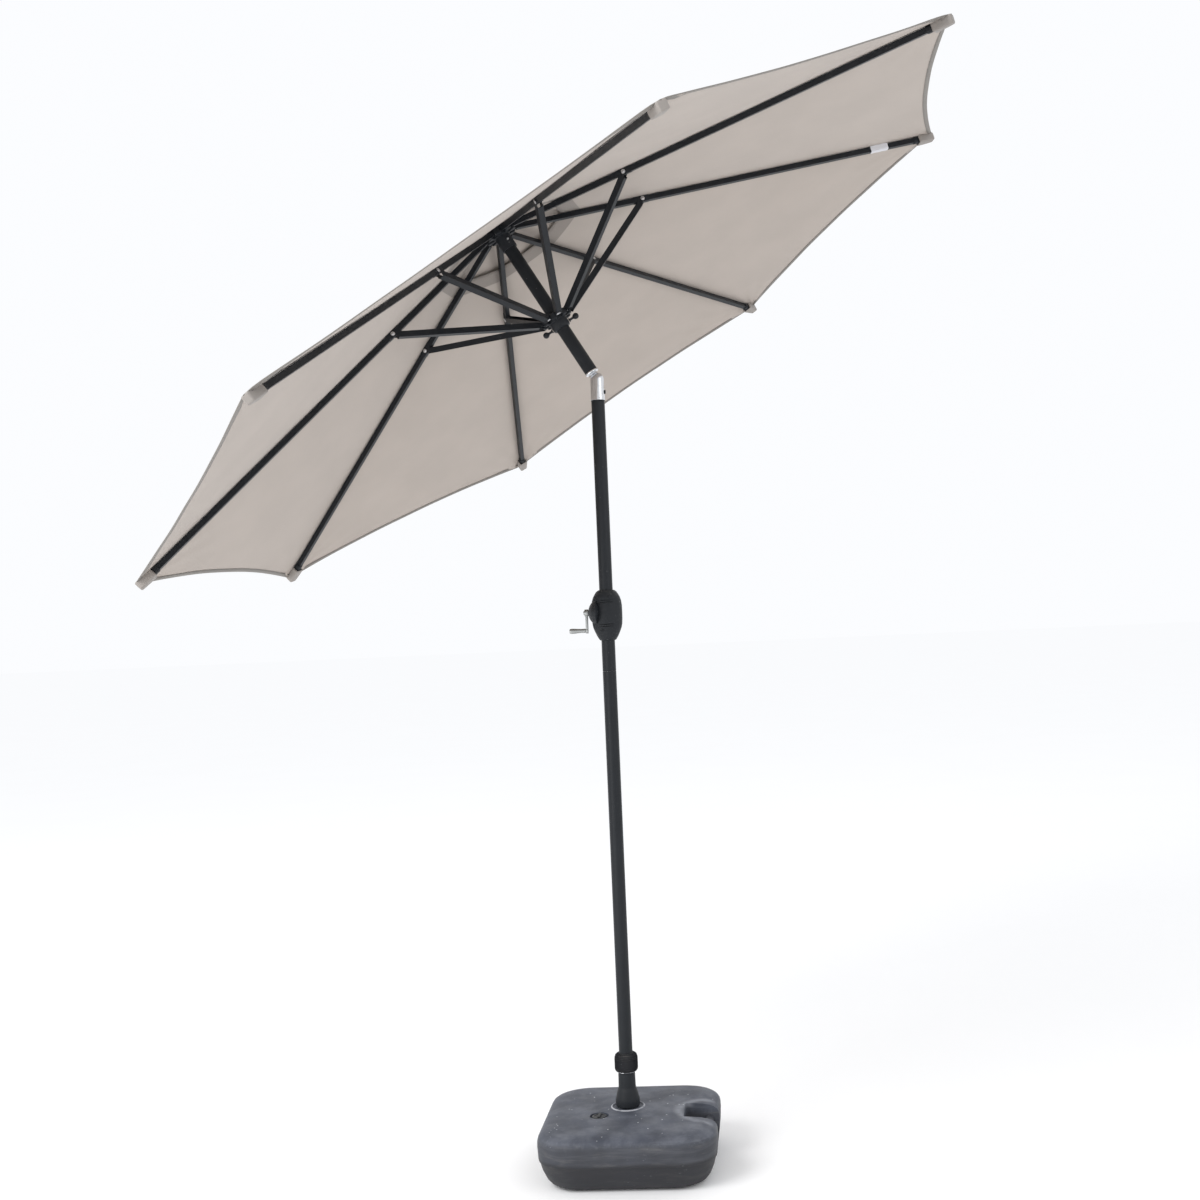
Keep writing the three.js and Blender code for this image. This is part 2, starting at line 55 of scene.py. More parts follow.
# ---- The umbrella's sizes, in metres, as its frame has them ----
RIBS = 8
RIB_START = math.radians(-26.8)
RIB_STEP = math.tau / RIBS
RIB_LENGTH = 1.355
RIB_HEIGHT = 0.015
DROOP = math.radians(16)
PIN_RADIUS = 0.040
STRUT_SEAT = 0.399
RUNNER_DROP = 0.296
KNUCKLE_Z = 2.183
HUB_Z = 0.509
TILT = math.radians(30.8)
POLE_R = 0.019
BORE_R = 0.0175
SEAM_Z = 1.359
CRANK_Z = 1.525
CRANK_X = -0.058
CRANK_ARM = 0.050
TANK_TOP = 0.153
NUT_LOW = 0.251
NUT_HIGH = 0.300
FILLER = Vector((-0.072, -0.074, TANK_TOP))
CLOTH_LIFT = RIB_HEIGHT / 2 + 0.0032
VENT_ALONG = 0.152
CAP_RADIUS = 0.300
SEAM_ALLOWANCE = 0.0045
SCALLOP = 0.037
EDGE_REACH = 0.006
PUCKER_PITCH = 0.034
BUTTON_DROP = 0.034
PEG_DROP = 0.0245
HOLD_Y = -0.038
FILLER_DEPTH = 0.010
NUT_STEPS = 72
CANOPY = Matrix.Translation((0, 0, KNUCKLE_Z)) @ Matrix.Rotation(-TILT, 4, "Y")
AT_HUB = CANOPY @ Matrix.Translation((0, 0, HUB_Z))
AT_RUNNER = CANOPY @ Matrix.Translation((0, 0, HUB_Z - RUNNER_DROP))


# ---- Settings a user would change ----
def colour(name, text, value):
    return bpy.props.FloatVectorProperty(
        name=name, description=text, subtype="COLOR", size=3, min=0, max=1, default=value
    )


def size(name, text, value, low=0.0):
    return bpy.props.FloatProperty(
        name=name, description=text, unit="LENGTH", subtype="DISTANCE", default=value, min=low
    )


class ClothSettings(bpy.types.PropertyGroup):
    sag: size("Sag", "How far the middle of a panel hangs below its ribs", 0.005)
    pucker: size("Pucker", "Height of the small creases at seams and corners", 0.0016)
    thickness: size("Thickness", "Thickness of the canopy cloth", 0.0006, 0.0001)
    hem: size("Hem", "Width of the bound hem on the underside", 0.013, 0.002)
    # The underside and face colours are one cloth: the underside painted darker as shade, the face painted
    # lighter as sunlight.
    underside: colour("Underside", "Colour of the cloth seen from below", (0.420, 0.367, 0.325))
    face: colour("Face", "Colour of the cloth's outer face", (0.60, 0.56, 0.51))
    # The binding colour is the canopy cloth painted darker, as shade on the bound hems.
    binding: colour("Binding", "Colour of the tape that binds the hems", (0.195, 0.178, 0.160))


class MetalSettings(bpy.types.PropertyGroup):
    coat: colour("Coat", "Colour of the powder coat on poles and ribs", (0.0125, 0.0145, 0.0175))
    plastic: colour("Plastic", "Colour of the black mouldings", (0.0135, 0.0155, 0.0185))
    chrome: colour("Chrome", "Colour of the plated tilt knuckle and of the nut's ring", (0.66, 0.67, 0.69))


class BaseSettings(bpy.types.PropertyGroup):
    resin: colour("Resin", "Colour of the tank's moulded resin", (0.054, 0.060, 0.078))
    chalk: colour("Chalk", "Colour of scuffs and dried water marks", (0.33, 0.345, 0.38))


class StageSettings(bpy.types.PropertyGroup):
    floor: colour("Floor", "Colour of the floor", (0.992, 0.992, 0.992))
    sky: colour("Sky", "Colour of the light from all round", (0.97, 0.98, 1.0))
    key: bpy.props.FloatProperty(
        name="Key light", description="Power of the large lamp", unit="POWER", default=190.0
    )


# ---- Node trees ----
VECTOR, FLOAT = "NodeSocketVector", "NodeSocketFloat"
DUST_COLOUR = (0.35, 0.34, 0.32, 1)
SPECK_COLOUR = (0.5, 0.5, 0.49, 1)
SIDE_DARK_COLOUR = (0.034, 0.034, 0.036, 1)
SMEAR_COLOUR = (0.15, 0.145, 0.14, 1)
FOOT_DARK_COLOUR = (0.017, 0.017, 0.019, 1)
COLLAR_EDGE_PALE_COLOUR = (0.50, 0.51, 0.54, 1)
SPLASH_COLOUR = (0.62, 0.63, 0.66, 1)
STITCH_PITCH = 0.0042
SEAM_ROW = 0.011
VENT_SHADE_BAND = 0.058
TOP_EDGE = 0.127
FOOT_DARK_LINE = 0.069


def value_or_link(tree, socket, value):
    """Plugs a socket, or sets a plain value."""
    if isinstance(value, bpy.types.NodeSocket):
        tree.links.new(value, socket)
    elif value is not None:
        socket.default_value = value


def feed(tree, node, **values):
    """Plugs or sets a node's sockets by name, with underscores for spaces."""
    for label, value in values.items():
        value_or_link(tree, node.inputs[label.replace("_", " ")], value)


def maths(tree, operation, *values, clamp=False):
    node = tree.nodes.new("ShaderNodeMath")
    node.operation = operation
    node.use_clamp = clamp
    for socket, value in zip(node.inputs, values):
        value_or_link(tree, socket, value)
    return node.outputs[0]


def times(tree, product, *others):
    for other in others:
        product = maths(tree, "MULTIPLY", product, other)
    return product


def inverted(tree, value):
    return maths(tree, "SUBTRACT", 1.0, value)


def gap(tree, a, b):
    return maths(tree, "ABSOLUTE", maths(tree, "SUBTRACT", a, b))


def noise_at(tree, vector, scale, detail=3.0, rough=0.5):
    node = tree.nodes.new("ShaderNodeTexNoise")
    feed(tree, node, Vector=vector, Scale=scale, Detail=detail, Roughness=rough)
    return node.outputs["Fac"]


def streaks_at(tree, vector, scale, detail, rough=0.5):
    """Noise with a scale of its own along each axis."""
    node = tree.nodes.new("ShaderNodeMapping")
    feed(tree, node, Vector=vector, Scale=scale)
    return noise_at(tree, node.outputs["Vector"], 1.0, detail, rough)


def cells_at(tree, vector, scale):
    """The distance to the nearest of many scattered points."""
    node = tree.nodes.new("ShaderNodeTexVoronoi")
    feed(tree, node, Vector=vector, Scale=scale)
    return node.outputs["Distance"]


def split(tree, vector):
    node = tree.nodes.new("ShaderNodeSeparateXYZ")
    value_or_link(tree, node.inputs[0], vector)
    return node.outputs


def ramp(tree, fac, low, high):
    """A soft step from 0 at `low` to 1 at `high`."""
    node = tree.nodes.new("ShaderNodeMapRange")
    node.interpolation_type = "SMOOTHSTEP"
    feed(tree, node, Value=fac, From_Min=low, From_Max=high)
    return node.outputs["Result"]


def mixed(tree, fac, a, b):
    node = tree.nodes.new("ShaderNodeMix")
    node.data_type = "RGBA"
    feed(tree, node, Factor=fac, A=a, B=b)
    return node.outputs["Result"]


def solid_colour(rgb, factor=1.0):
    return (*[min(1.0, c * factor) for c in rgb], 1.0)


def toned(tree, fac, rgb, low, high):
    """One colour, between two strengths of it."""
    return mixed(tree, fac, solid_colour(rgb, low), solid_colour(rgb, high))


def attribute(tree, name):
    node = tree.nodes.new("ShaderNodeAttribute")
    node.attribute_name = name
    return node.outputs["Fac"]


def group(name, inputs, outputs):
    """A new node group with its sockets, and the group's own input and output nodes."""
    tree = bpy.data.node_groups.new(name, "ShaderNodeTree")
    for label, kind, value in inputs:
        socket = tree.interface.new_socket(name=label, in_out="INPUT", socket_type=kind)
        if value is not None:
            socket.default_value = value
    for label in outputs:
        tree.interface.new_socket(name=label, in_out="OUTPUT", socket_type=FLOAT)
    return tree, tree.nodes.new("NodeGroupInput").outputs, tree.nodes.new("NodeGroupOutput")


def weave_group():
    """Plain weave: thread bumps of the given pitch, slubs, and uneven dyeing."""
    tree, given, out = group(
        "Plain Weave",
        [("Vector", VECTOR, None), ("Pitch", FLOAT, 0.0007)],
        ["Height", "Slub", "Shade"],
    )
    at = given["Vector"]
    x, y, _ = split(tree, at)
    turns = maths(tree, "DIVIDE", math.pi, given["Pitch"])
    warp = maths(tree, "SINE", times(tree, x, turns))
    weft = maths(tree, "SINE", times(tree, y, turns))
    threads = maths(tree, "MULTIPLY_ADD", times(tree, warp, weft), 0.5, 0.5)
    along = streaks_at(tree, at, (900, 24, 1), 2.0)
    across = streaks_at(tree, at, (24, 900, 1), 2.0)
    slub = times(tree, along, across)
    feed(
        tree, out,
        Height=maths(tree, "ADD", threads, slub), Slub=slub, Shade=noise_at(tree, at, 5.0, 4.0),
    )
    return tree


def stitch_group():
    """A row of lock stitches at a distance from a sewn edge."""
    tree, given, out = group(
        "Stitch Row",
        [("From edge", FLOAT, 0.0), ("Along", FLOAT, 0.0), ("Row", FLOAT, 0.006)],
        ["Thread", "Hollow"],
    )
    off = gap(tree, given["From edge"], given["Row"])
    phase = maths(tree, "FRACT", maths(tree, "DIVIDE", given["Along"], STITCH_PITCH))
    dash = maths(tree, "LESS_THAN", gap(tree, phase, 0.5), 0.36)
    feed(
        tree, out,
        Thread=times(tree, maths(tree, "LESS_THAN", off, 0.0006), dash),
        Hollow=inverted(tree, ramp(tree, off, 0.0, 0.004)),
    )
    return tree


def grain_group():
    """The fine pebbled skin of powder coat or of a grained moulding."""
    tree, given, out = group(
        "Moulded Grain",
        [("Vector", VECTOR, None), ("Scale", FLOAT, 900.0)],
        ["Height", "Shade"],
    )
    at = given["Vector"]
    feed(
        tree, out, Height=cells_at(tree, at, given["Scale"]), Shade=noise_at(tree, at, 14.0, 5.0)
    )
    return tree


def wear_group():
    """Dust that settles on upward faces, and thin scratches and specks from handling."""
    tree, given, out = group(
        "Dust And Wear",
        [("Vector", VECTOR, None), ("Dust", FLOAT, 0.3), ("Specks", FLOAT, 0.2)],
        ["Dust", "Scratches", "Specks"],
    )
    at = given["Vector"]
    facing = tree.nodes.new("ShaderNodeNewGeometry").outputs["Normal"]
    up = ramp(tree, split(tree, facing)["Z"], 0.15, 0.95)
    cloud = ramp(tree, noise_at(tree, at, 16.0, 6.0, 0.65), 0.35, 0.75)
    fine = ramp(tree, streaks_at(tree, at, (40, 420, 160), 3.0, 0.7), 0.64, 0.72)
    where = ramp(tree, noise_at(tree, at, 9.0, 2.0), 0.48, 0.66)
    near = maths(tree, "LESS_THAN", cells_at(tree, at, 70.0), 0.11)
    chosen = maths(tree, "GREATER_THAN", noise_at(tree, at, 37.0, 1.0), 0.56)
    feed(
        tree, out,
        Dust=times(tree, up, cloud, given["Dust"]),
        Scratches=times(tree, fine, where),
        Specks=times(tree, near, chosen, given["Specks"]),
    )
    return tree


def use_group(tree, name, build, **inputs):
    """A node that uses a shared group, which is built when it is first asked for."""
    node = tree.nodes.new("ShaderNodeGroup")
    node.node_tree = bpy.data.node_groups.get(name) or build()
    feed(tree, node, **inputs)
    return node.outputs


def new_material(name):
    """A material with a Principled shader, and its Object coordinates."""
    made = bpy.data.materials.new(name)
    made.use_nodes = True
    tree = made.node_tree
    shader = tree.nodes["Principled BSDF"]
    at = tree.nodes.new("ShaderNodeTexCoord").outputs["Object"]
    return made, tree, shader, at


def bump(tree, shader, height, strength, distance):
    node = tree.nodes.new("ShaderNodeBump")
    feed(tree, node, Height=height, Strength=strength, Distance=distance)
    feed(tree, shader, Normal=node.outputs["Normal"])


def canopy_cloth(name, rgb):
    """Woven polyester on the panels' own cloth map, with its stitched edges, painted shade in the hollow
    beside each stitch row, and a band of painted shade next to the vent.
    """
    made, tree, shader, _ = new_material(name)
    cloth = tree.nodes.new("ShaderNodeUVMap")
    cloth.uv_map = "cloth"
    at = cloth.outputs["UV"]
    weave = use_group(tree, "Plain Weave", weave_group, Vector=at)
    row = use_group(
        tree, "Stitch Row", stitch_group,
        From_edge=attribute(tree, "from_rib"), Along=split(tree, at)["Y"], Row=SEAM_ROW,
    )
    uneven = toned(tree, ramp(tree, weave["Shade"], 0.3, 0.7), rgb, 0.955, 1.02)
    slubbed = mixed(tree, times(tree, weave["Slub"], 0.25), uneven, solid_colour(rgb, 0.82))
    # Painted shade: the cloth is darker in a band next to the vent, where the cap above shades it.
    past_band = ramp(tree, attribute(tree, "from_vent"), VENT_SHADE_BAND, VENT_SHADE_BAND + 0.003)
    vent_shade = times(tree, inverted(tree, past_band), 0.95)
    vent_shaded = mixed(tree, vent_shade, slubbed, solid_colour(rgb, 0.55))
    # Painted shade: the cloth is darker in the hollow along each stitch row.
    seam_hollow_shaded = mixed(tree, times(tree, row["Hollow"], 0.16), vent_shaded, solid_colour(rgb, 0.5))
    threaded = mixed(tree, times(tree, row["Thread"], 0.7), seam_hollow_shaded, solid_colour(rgb, 1.12))
    feed(
        tree, shader,
        Base_Color=threaded,
        Roughness=maths(tree, "MULTIPLY_ADD", weave["Slub"], 0.2, 0.5, clamp=True),
        Sheen_Weight=0.12, Sheen_Roughness=0.6, Specular_IOR_Level=0.25,
    )
    height = maths(tree, "SUBTRACT", weave["Height"], times(tree, row["Hollow"], 1.5))
    bump(tree, shader, height, 0.22, 0.0003)
    return made


def binding_cloth(name, rgb):
    """Tape, pocket and label cloth: a closer weave."""
    made, tree, shader, at = new_material(name)
    weave = use_group(tree, "Plain Weave", weave_group, Vector=at, Pitch=0.0005)
    feed(
        tree, shader,
        Base_Color=toned(tree, weave["Shade"], rgb, 0.82, 1.15),
        Roughness=maths(tree, "MULTIPLY_ADD", weave["Slub"], 0.3, 0.5, clamp=True),
        Sheen_Weight=0.1,
    )
    bump(tree, shader, weave["Height"], 0.35, 0.0003)
    return made


def grained(name, rgb, roughness, scale, dust, specks, metallic=0.0, coat=0.0):
    """Powder coat or a black moulding: pebbled skin, handling scratches and a little dust."""
    made, tree, shader, at = new_material(name)
    grain = use_group(tree, "Moulded Grain", grain_group, Vector=at, Scale=scale)
    wear = use_group(tree, "Dust And Wear", wear_group, Vector=at, Dust=dust, Specks=specks)
    dusty = mixed(tree, wear["Dust"], toned(tree, grain["Shade"], rgb, 0.8, 1.3), DUST_COLOUR)
    scuffed = mixed(tree, times(tree, wear["Scratches"], 0.30), dusty, solid_colour(rgb, 3.2))
    rough = maths(tree, "MULTIPLY_ADD", grain["Shade"], 0.18, roughness - 0.09)
    feed(
        tree, shader,
        Base_Color=mixed(tree, wear["Specks"], scuffed, SPECK_COLOUR),
        Roughness=maths(tree, "ADD", rough, times(tree, wear["Dust"], 0.4)),
        Metallic=metallic, Specular_IOR_Level=0.22, Coat_Weight=coat,
    )
    bump(tree, shader, grain["Height"], 0.25, 0.0002)
    return made


def plated(name, rgb, roughness, streak):
    """Bright plating or zinc: polishing streaks, water spots and faint pitting."""
    made, tree, shader, at = new_material(name)
    lines = streaks_at(tree, at, (60, 60, 900), 2.0)
    spots = ramp(tree, noise_at(tree, at, 120.0, 4.0), 0.58, 0.75)
    rough = maths(tree, "MULTIPLY_ADD", lines, streak, roughness)
    feed(
        tree, shader,
        Base_Color=toned(tree, spots, rgb, 1.0, 0.72),
        Roughness=maths(tree, "ADD", rough, times(tree, spots, 0.15)), Metallic=1.0,
    )
    bump(tree, shader, lines, 0.06, 0.0001)
    return made


def ring_round(tree, flat, centre, radius, width):
    """1 on a circle round an upright axis, falling to 0 at its width to either side."""
    offs = [maths(tree, "SUBTRACT", value, middle) for value, middle in zip(flat, centre)]
    squares = [times(tree, off, off) for off in offs]
    reach = maths(tree, "SQRT", maths(tree, "ADD", *squares))
    return inverted(tree, ramp(tree, gap(tree, reach, radius), 0.0, width))


def tank_resin(settings):
    """Blow-moulded resin: orange-peel skin, chalky edges, darker sides and a darker foot, a pale line on the
    collar ring's edge, scrapes and dried splashes.
    """
    made, tree, shader, at = new_material("slate_resin")
    x, y, z = split(tree, at)
    rgb, pale = settings.resin, solid_colour(settings.chalk)
    grain = use_group(tree, "Moulded Grain", grain_group, Vector=at, Scale=420.0)
    wear = use_group(tree, "Dust And Wear", wear_group, Vector=at, Dust=0.20, Specks=1.0)
    base = toned(tree, ramp(tree, grain["Shade"], 0.3, 0.7), rgb, 0.82, 1.22)
    bloom = ramp(tree, streaks_at(tree, at, (5, 7, 60), 5.0, 0.6), 0.46, 0.72)
    bloomed = mixed(tree, times(tree, bloom, 0.16), base, pale)
    dusty = mixed(tree, wear["Dust"], bloomed, pale)

    edge = inverted(tree, ramp(tree, gap(tree, z, TOP_EDGE), 0.0, 0.014))
    broken = ramp(tree, noise_at(tree, at, 60.0, 5.0, 0.7), 0.47, 0.70)
    rubbed = mixed(tree, times(tree, edge, broken, 0.12), dusty, pale)
    # The sides below the top edge are darker than the top.
    side = inverted(tree, ramp(tree, z, 0.118, 0.136))
    sides_darkened = mixed(tree, times(tree, side, 0.55), rubbed, SIDE_DARK_COLOUR)
    smears = ramp(tree, streaks_at(tree, at, (9, 9, 55), 6.0, 0.62), 0.50, 0.72)
    smeared = mixed(tree, times(tree, side, smears, 0.40), sides_darkened, SMEAR_COLOUR)
    # Darker again towards the bottom, below a wavering line near the foot.
    foot_dark_line = maths(tree, "MULTIPLY_ADD", noise_at(tree, at, 7.0, 4.0), 0.02, FOOT_DARK_LINE)
    above = maths(tree, "SUBTRACT", z, foot_dark_line)
    below_foot_dark_line = inverted(tree, ramp(tree, above, -0.006, 0.004))
    low = mixed(tree, times(tree, below_foot_dark_line, 0.70), smeared, FOOT_DARK_COLOUR)

    # A pale, broken line along the outer edge of the collar ring.
    collar_edge_breaks = ramp(tree, noise_at(tree, at, 26.0, 3.0), 0.36, 0.52)
    collar = ring_round(tree, (x, y), (0.0, 0.0), 0.0455, 0.0032)
    collar_edge_paled = mixed(tree, times(tree, collar, collar_edge_breaks, 0.85), low, COLLAR_EDGE_PALE_COLOUR)
    worn = ramp(tree, noise_at(tree, at, 22.0, 4.0), 0.30, 0.55)
    halo = ring_round(tree, (x, y), (0.235, HOLD_Y), 0.092, 0.020)
    on_top = ramp(tree, z, 0.135, 0.145)
    scraped = mixed(tree, times(tree, halo, worn, on_top, 0.45), collar_edge_paled, pale)
    marked = mixed(tree, times(tree, wear["Scratches"], 0.5), scraped, pale)
    feed(
        tree, shader,
        Base_Color=mixed(tree, times(tree, wear["Specks"], on_top), marked, SPLASH_COLOUR),
        Roughness=maths(tree, "MULTIPLY_ADD", grain["Shade"], 0.3, 0.42),
        Specular_IOR_Level=0.32,
    )
    bump(tree, shader, grain["Height"], 0.4, 0.0006)
    return made


# ---- Modelling ----
def fresh():
    """Object mode, with nothing selected."""
    if bpy.context.mode != "OBJECT":
        bpy.ops.object.mode_set(mode="OBJECT")
    bpy.ops.object.select_all(action="DESELECT")


def only(obj):
    fresh()
    obj.select_set(True)
    bpy.context.view_layer.objects.active = obj


def named(obj, name):
    obj.name = name
    obj.data.name = name
    return obj


def settle(obj):
    """Leaves the object's place in its mesh."""
    only(obj)
    bpy.ops.object.transform_apply(location=True, rotation=True, scale=True)
    return obj


def turned(name, profile, steps=64):
    """A turned piece: one point drawn out along a radius-and-height profile, then spun round Z."""
    fresh()
    bpy.ops.mesh.primitive_plane_add(size=0.01)
    obj = bpy.context.object
    bpy.ops.object.mode_set(mode="EDIT")
    bpy.ops.mesh.select_mode(type="VERT")
    bpy.ops.mesh.select_all(action="SELECT")
    bpy.ops.mesh.merge(type="CENTER")
    r, z = profile[0]
    bpy.ops.transform.translate(value=(r, 0, z))
    for nr, nz in profile[1:]:
        bpy.ops.mesh.extrude_region_move(TRANSFORM_OT_translate={"value": (nr - r, 0, nz - z)})
        r, z = nr, nz
    bpy.ops.mesh.select_all(action="SELECT")
    bpy.ops.mesh.spin(steps=steps, angle=math.tau, center=(0, 0, 0), axis=(0, 0, 1))
    bpy.ops.mesh.select_all(action="SELECT")
    bpy.ops.mesh.remove_doubles(threshold=1e-6)
    bpy.ops.mesh.normals_make_consistent(inside=False)
    bpy.ops.object.mode_set(mode="OBJECT")
    return named(obj, name)


def block(name, dims, at, round_over=0.0, segments=3):
    """A block with its edges rounded over."""
    fresh()
    bpy.ops.mesh.primitive_cube_add(size=1, location=at, scale=dims)
    obj = settle(bpy.context.object)
    if round_over:
        bpy.ops.object.mode_set(mode="EDIT")
        bpy.ops.mesh.select_all(action="SELECT")
        bpy.ops.mesh.bevel(offset=round_over, segments=segments, affect="EDGES")
        bpy.ops.object.mode_set(mode="OBJECT")
    return named(obj, name)


def rod(name, radius, length, at, axis="Z", steps=32, round_over=0.0):
    fresh()
    turn = {"X": (0, math.pi / 2, 0), "Y": (math.pi / 2, 0, 0), "Z": (0, 0, 0)}[axis]
    bpy.ops.mesh.primitive_cylinder_add(
        vertices=steps, radius=radius, depth=length, location=at, rotation=turn
    )
    obj = settle(bpy.context.object)
    if round_over:
        bevelled(obj, round_over, 2)
    return named(obj, name)


def ball(name, radius, at, dims=(1, 1, 1)):
    fresh()
    bpy.ops.mesh.primitive_uv_sphere_add(
        segments=20, ring_count=12, radius=radius, location=at, scale=dims
    )
    return named(settle(bpy.context.object), name)


def modified(obj, kind, **values):
    """Adds a modifier, sets it and applies it."""
    only(obj)
    made = obj.modifiers.new(kind.title(), kind)
    for key, value in values.items():
        setattr(made, key, value)
    bpy.ops.object.modifier_apply(modifier=made.name)
    return obj


def bevelled(obj, width, segments=2, angle=35):
    return modified(
        obj, "BEVEL", width=width, segments=segments, limit_method="ANGLE",
        angle_limit=math.radians(angle), use_clamp_overlap=True,
    )


def thrown_away(*tools):
    for tool in tools:
        bpy.data.objects.remove(tool, do_unlink=True)


def cut(obj, *tools, operation="DIFFERENCE"):
    """Cuts or joins solids one after another, and throws the tools away."""
    for tool in tools:
        modified(obj, "BOOLEAN", operation=operation, object=tool, solver="EXACT")
        thrown_away(tool)
    return obj


def joined(name, parts):
    fresh()
    for part in parts:
        part.select_set(True)
    bpy.context.view_layer.objects.active = parts[0]
    if len(parts) > 1:
        bpy.ops.object.join()
    return named(bpy.context.object, name)


def moved(obj, matrix):
    obj.data.transform(matrix)
    obj.data.update()
    return obj


def copied(obj, name, matrix):
    """A copy with a mesh of its own."""
    made = obj.copy()
    made.data = obj.data.copy()
    bpy.context.scene.collection.objects.link(made)
    return moved(named(made, name), matrix)


def smoothed(obj):
    only(obj)
    bpy.ops.object.shade_smooth()
    return obj


def dressed(obj, material, body, nodes=(), smooth=35):
    """Gives a finished piece its finish and its body, and hides the frame's nodes that it stands for."""
    only(obj)
    obj.data.materials.clear()
    obj.data.materials.append(material)
    bpy.ops.object.shade_smooth_by_angle(angle=math.radians(smooth))
    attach(obj, body)
    if nodes:
        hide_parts(*nodes)
    return obj


def finish_node(name, material):
    """A frame node whose shape is right only takes a finish."""
    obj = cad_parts[name]
    obj.data.materials.clear()
    obj.data.materials.append(material)


def material_named(name, build, *args, **values):
    return bpy.data.materials.get(name) or build(name, *args, **values)


def coat_paint():
    s = bpy.context.scene.umbrella_metal
    return material_named(
        "powder_coat", grained, s.coat, 0.44, 1100.0, dust=0.05, specks=0.08, metallic=0.1, coat=0.05
    )


def black_moulding():
    s = bpy.context.scene.umbrella_metal
    return material_named(
        "black_moulding", grained, s.plastic, 0.5, 1500.0, dust=0.2, specks=0.2
    )


def bright_chrome():
    s = bpy.context.scene.umbrella_metal
    return material_named("bright_chrome", plated, s.chrome, 0.10, 0.10)


def zinc():
    return material_named("zinc", plated, (0.62, 0.62, 0.63), 0.30, 0.20)


# The hem binding's colour is painted shade.
def binding():
    s = bpy.context.scene.umbrella_cloth
    return material_named("binding_cloth", binding_cloth, s.binding)


def rib_angle(k):
    return RIB_START + k * RIB_STEP


def rib_frame(k, height=HUB_Z, pitch=DROOP):
    """From a rib drawn along +X to its place in the row's frame."""
    return (
        CANOPY
        @ Matrix.Rotation(rib_angle(k), 4, "Z")
        @ Matrix.Translation((PIN_RADIUS, 0, height))
        @ Matrix.Rotation(pitch, 4, "Y")
    )


def on_rib(k, along, lift):
    a = rib_angle(k)
    r = PIN_RADIUS + along * math.cos(DROOP) + lift * math.sin(DROOP)
    z = HUB_Z - along * math.sin(DROOP) + lift * math.cos(DROOP)
    return Vector((r * math.cos(a), r * math.sin(a), z))


# ---- Cloth ----
def mark(across, along, from_rib=1.0, from_vent=1.0):
    """What the cloth's finish needs to know at one point: its place on the cloth, and its edges."""
    return {"cloth": (across, along), "from_rib": from_rib, "from_vent": from_vent}


def sheet_from(name, grid, marks):
    """A sheet from rows of points, with its cloth map in metres and its distances from two edges."""
    rows, cols = len(grid), len(grid[0])
    mesh = bpy.data.meshes.new(name)
    points = [p for row in grid for p in row]
    faces = [
        (i * cols + j, (i + 1) * cols + j, (i + 1) * cols + j + 1, i * cols + j + 1)
        for i in range(rows - 1)
        for j in range(cols - 1)
    ]
    mesh.from_pydata(points, [], faces)
    for label in ("from_rib", "from_vent"):
        layer = mesh.attributes.new(label, "FLOAT", "POINT")
        layer.data.foreach_set("value", [m[label] for row in marks for m in row])
    uv = mesh.uv_layers.new(name="cloth")
    flat = [m["cloth"] for row in marks for m in row]
    for loop in mesh.loops:
        uv.data[loop.index].uv = flat[loop.vertex_index]
    mesh.update()
    obj = bpy.data.objects.new(name, mesh)
    bpy.context.scene.collection.objects.link(obj)
    return obj


def bulge(u):
    """0 at both ends of a span, 1 in its middle."""
    return 4 * u * (1 - u)


def away_from(k):
    """The way out of the canopy, between ribs k and k + 1."""
    out = on_rib(k, 1, 1) + on_rib(k + 1, 1, 1) - on_rib(k, 1, 0) - on_rib(k + 1, 1, 0)
    return out.normalized()


def gore_point(k, u, along, edge, settings):
    """A point of the panel between ribs k and k + 1: a little slack, and creased at its seams."""
    a, b = on_rib(k, along, CLOTH_LIFT), on_rib(k + 1, along, CLOTH_LIFT)
    chord = a.lerp(b, u)
    width = (b - a).length
    side = min(u, 1 - u) * width
    share = (along - VENT_ALONG) / (edge - VENT_ALONG)
    sag = settings.sag * bulge(u) * math.sin(math.pi * min(1.0, 0.12 + share * 0.80))
    seed = Vector((k * 3.7, 0, 0))
    fade = min(1.0, side / 0.03)
    drift = 2 * noise.noise(seed + chord * 9)
    seam_crease = math.exp(-side / 0.022) * math.sin(along * math.tau / PUCKER_PITCH + drift)
    to_tip = math.hypot(edge - along, side)
    fan = math.sin(math.atan2(side, max(1e-4, edge - along)) * 13 + k)
    corner = math.exp(-to_tip / 0.13) * fan * 2.2
    soft = noise.noise(seed + Vector((chord.x * 5, chord.y * 5, 0))) * 1.1
    crease = settings.pucker * (seam_crease * 0.55 + corner + soft) * fade
    return chord + away_from(k) * (crease - sag), width


def edge_along(u):
    """How far along the ribs the scalloped edge lies."""
    return RIB_LENGTH + EDGE_REACH - SCALLOP * bulge(u)


def gore(k, settings):
    rows, cols = 72, 44
    grid, marks = [], []
    for i in range(rows + 1):
        v = i / rows
        line, noted = [], []
        for j in range(cols + 1):
            u = 0.5 - 0.5 * math.cos(math.pi * j / cols)
            edge = edge_along(u)
            along = VENT_ALONG + (edge - VENT_ALONG) * v
            point, width = gore_point(k, u, along, edge, settings)
            line.append(point)
            noted.append(mark((u - 0.5) * width, along, min(u, 1 - u) * width, along - VENT_ALONG))
        grid.append(line)
        marks.append(noted)
    return sheet_from(f"canopy_gore_{k + 1}", grid, marks)


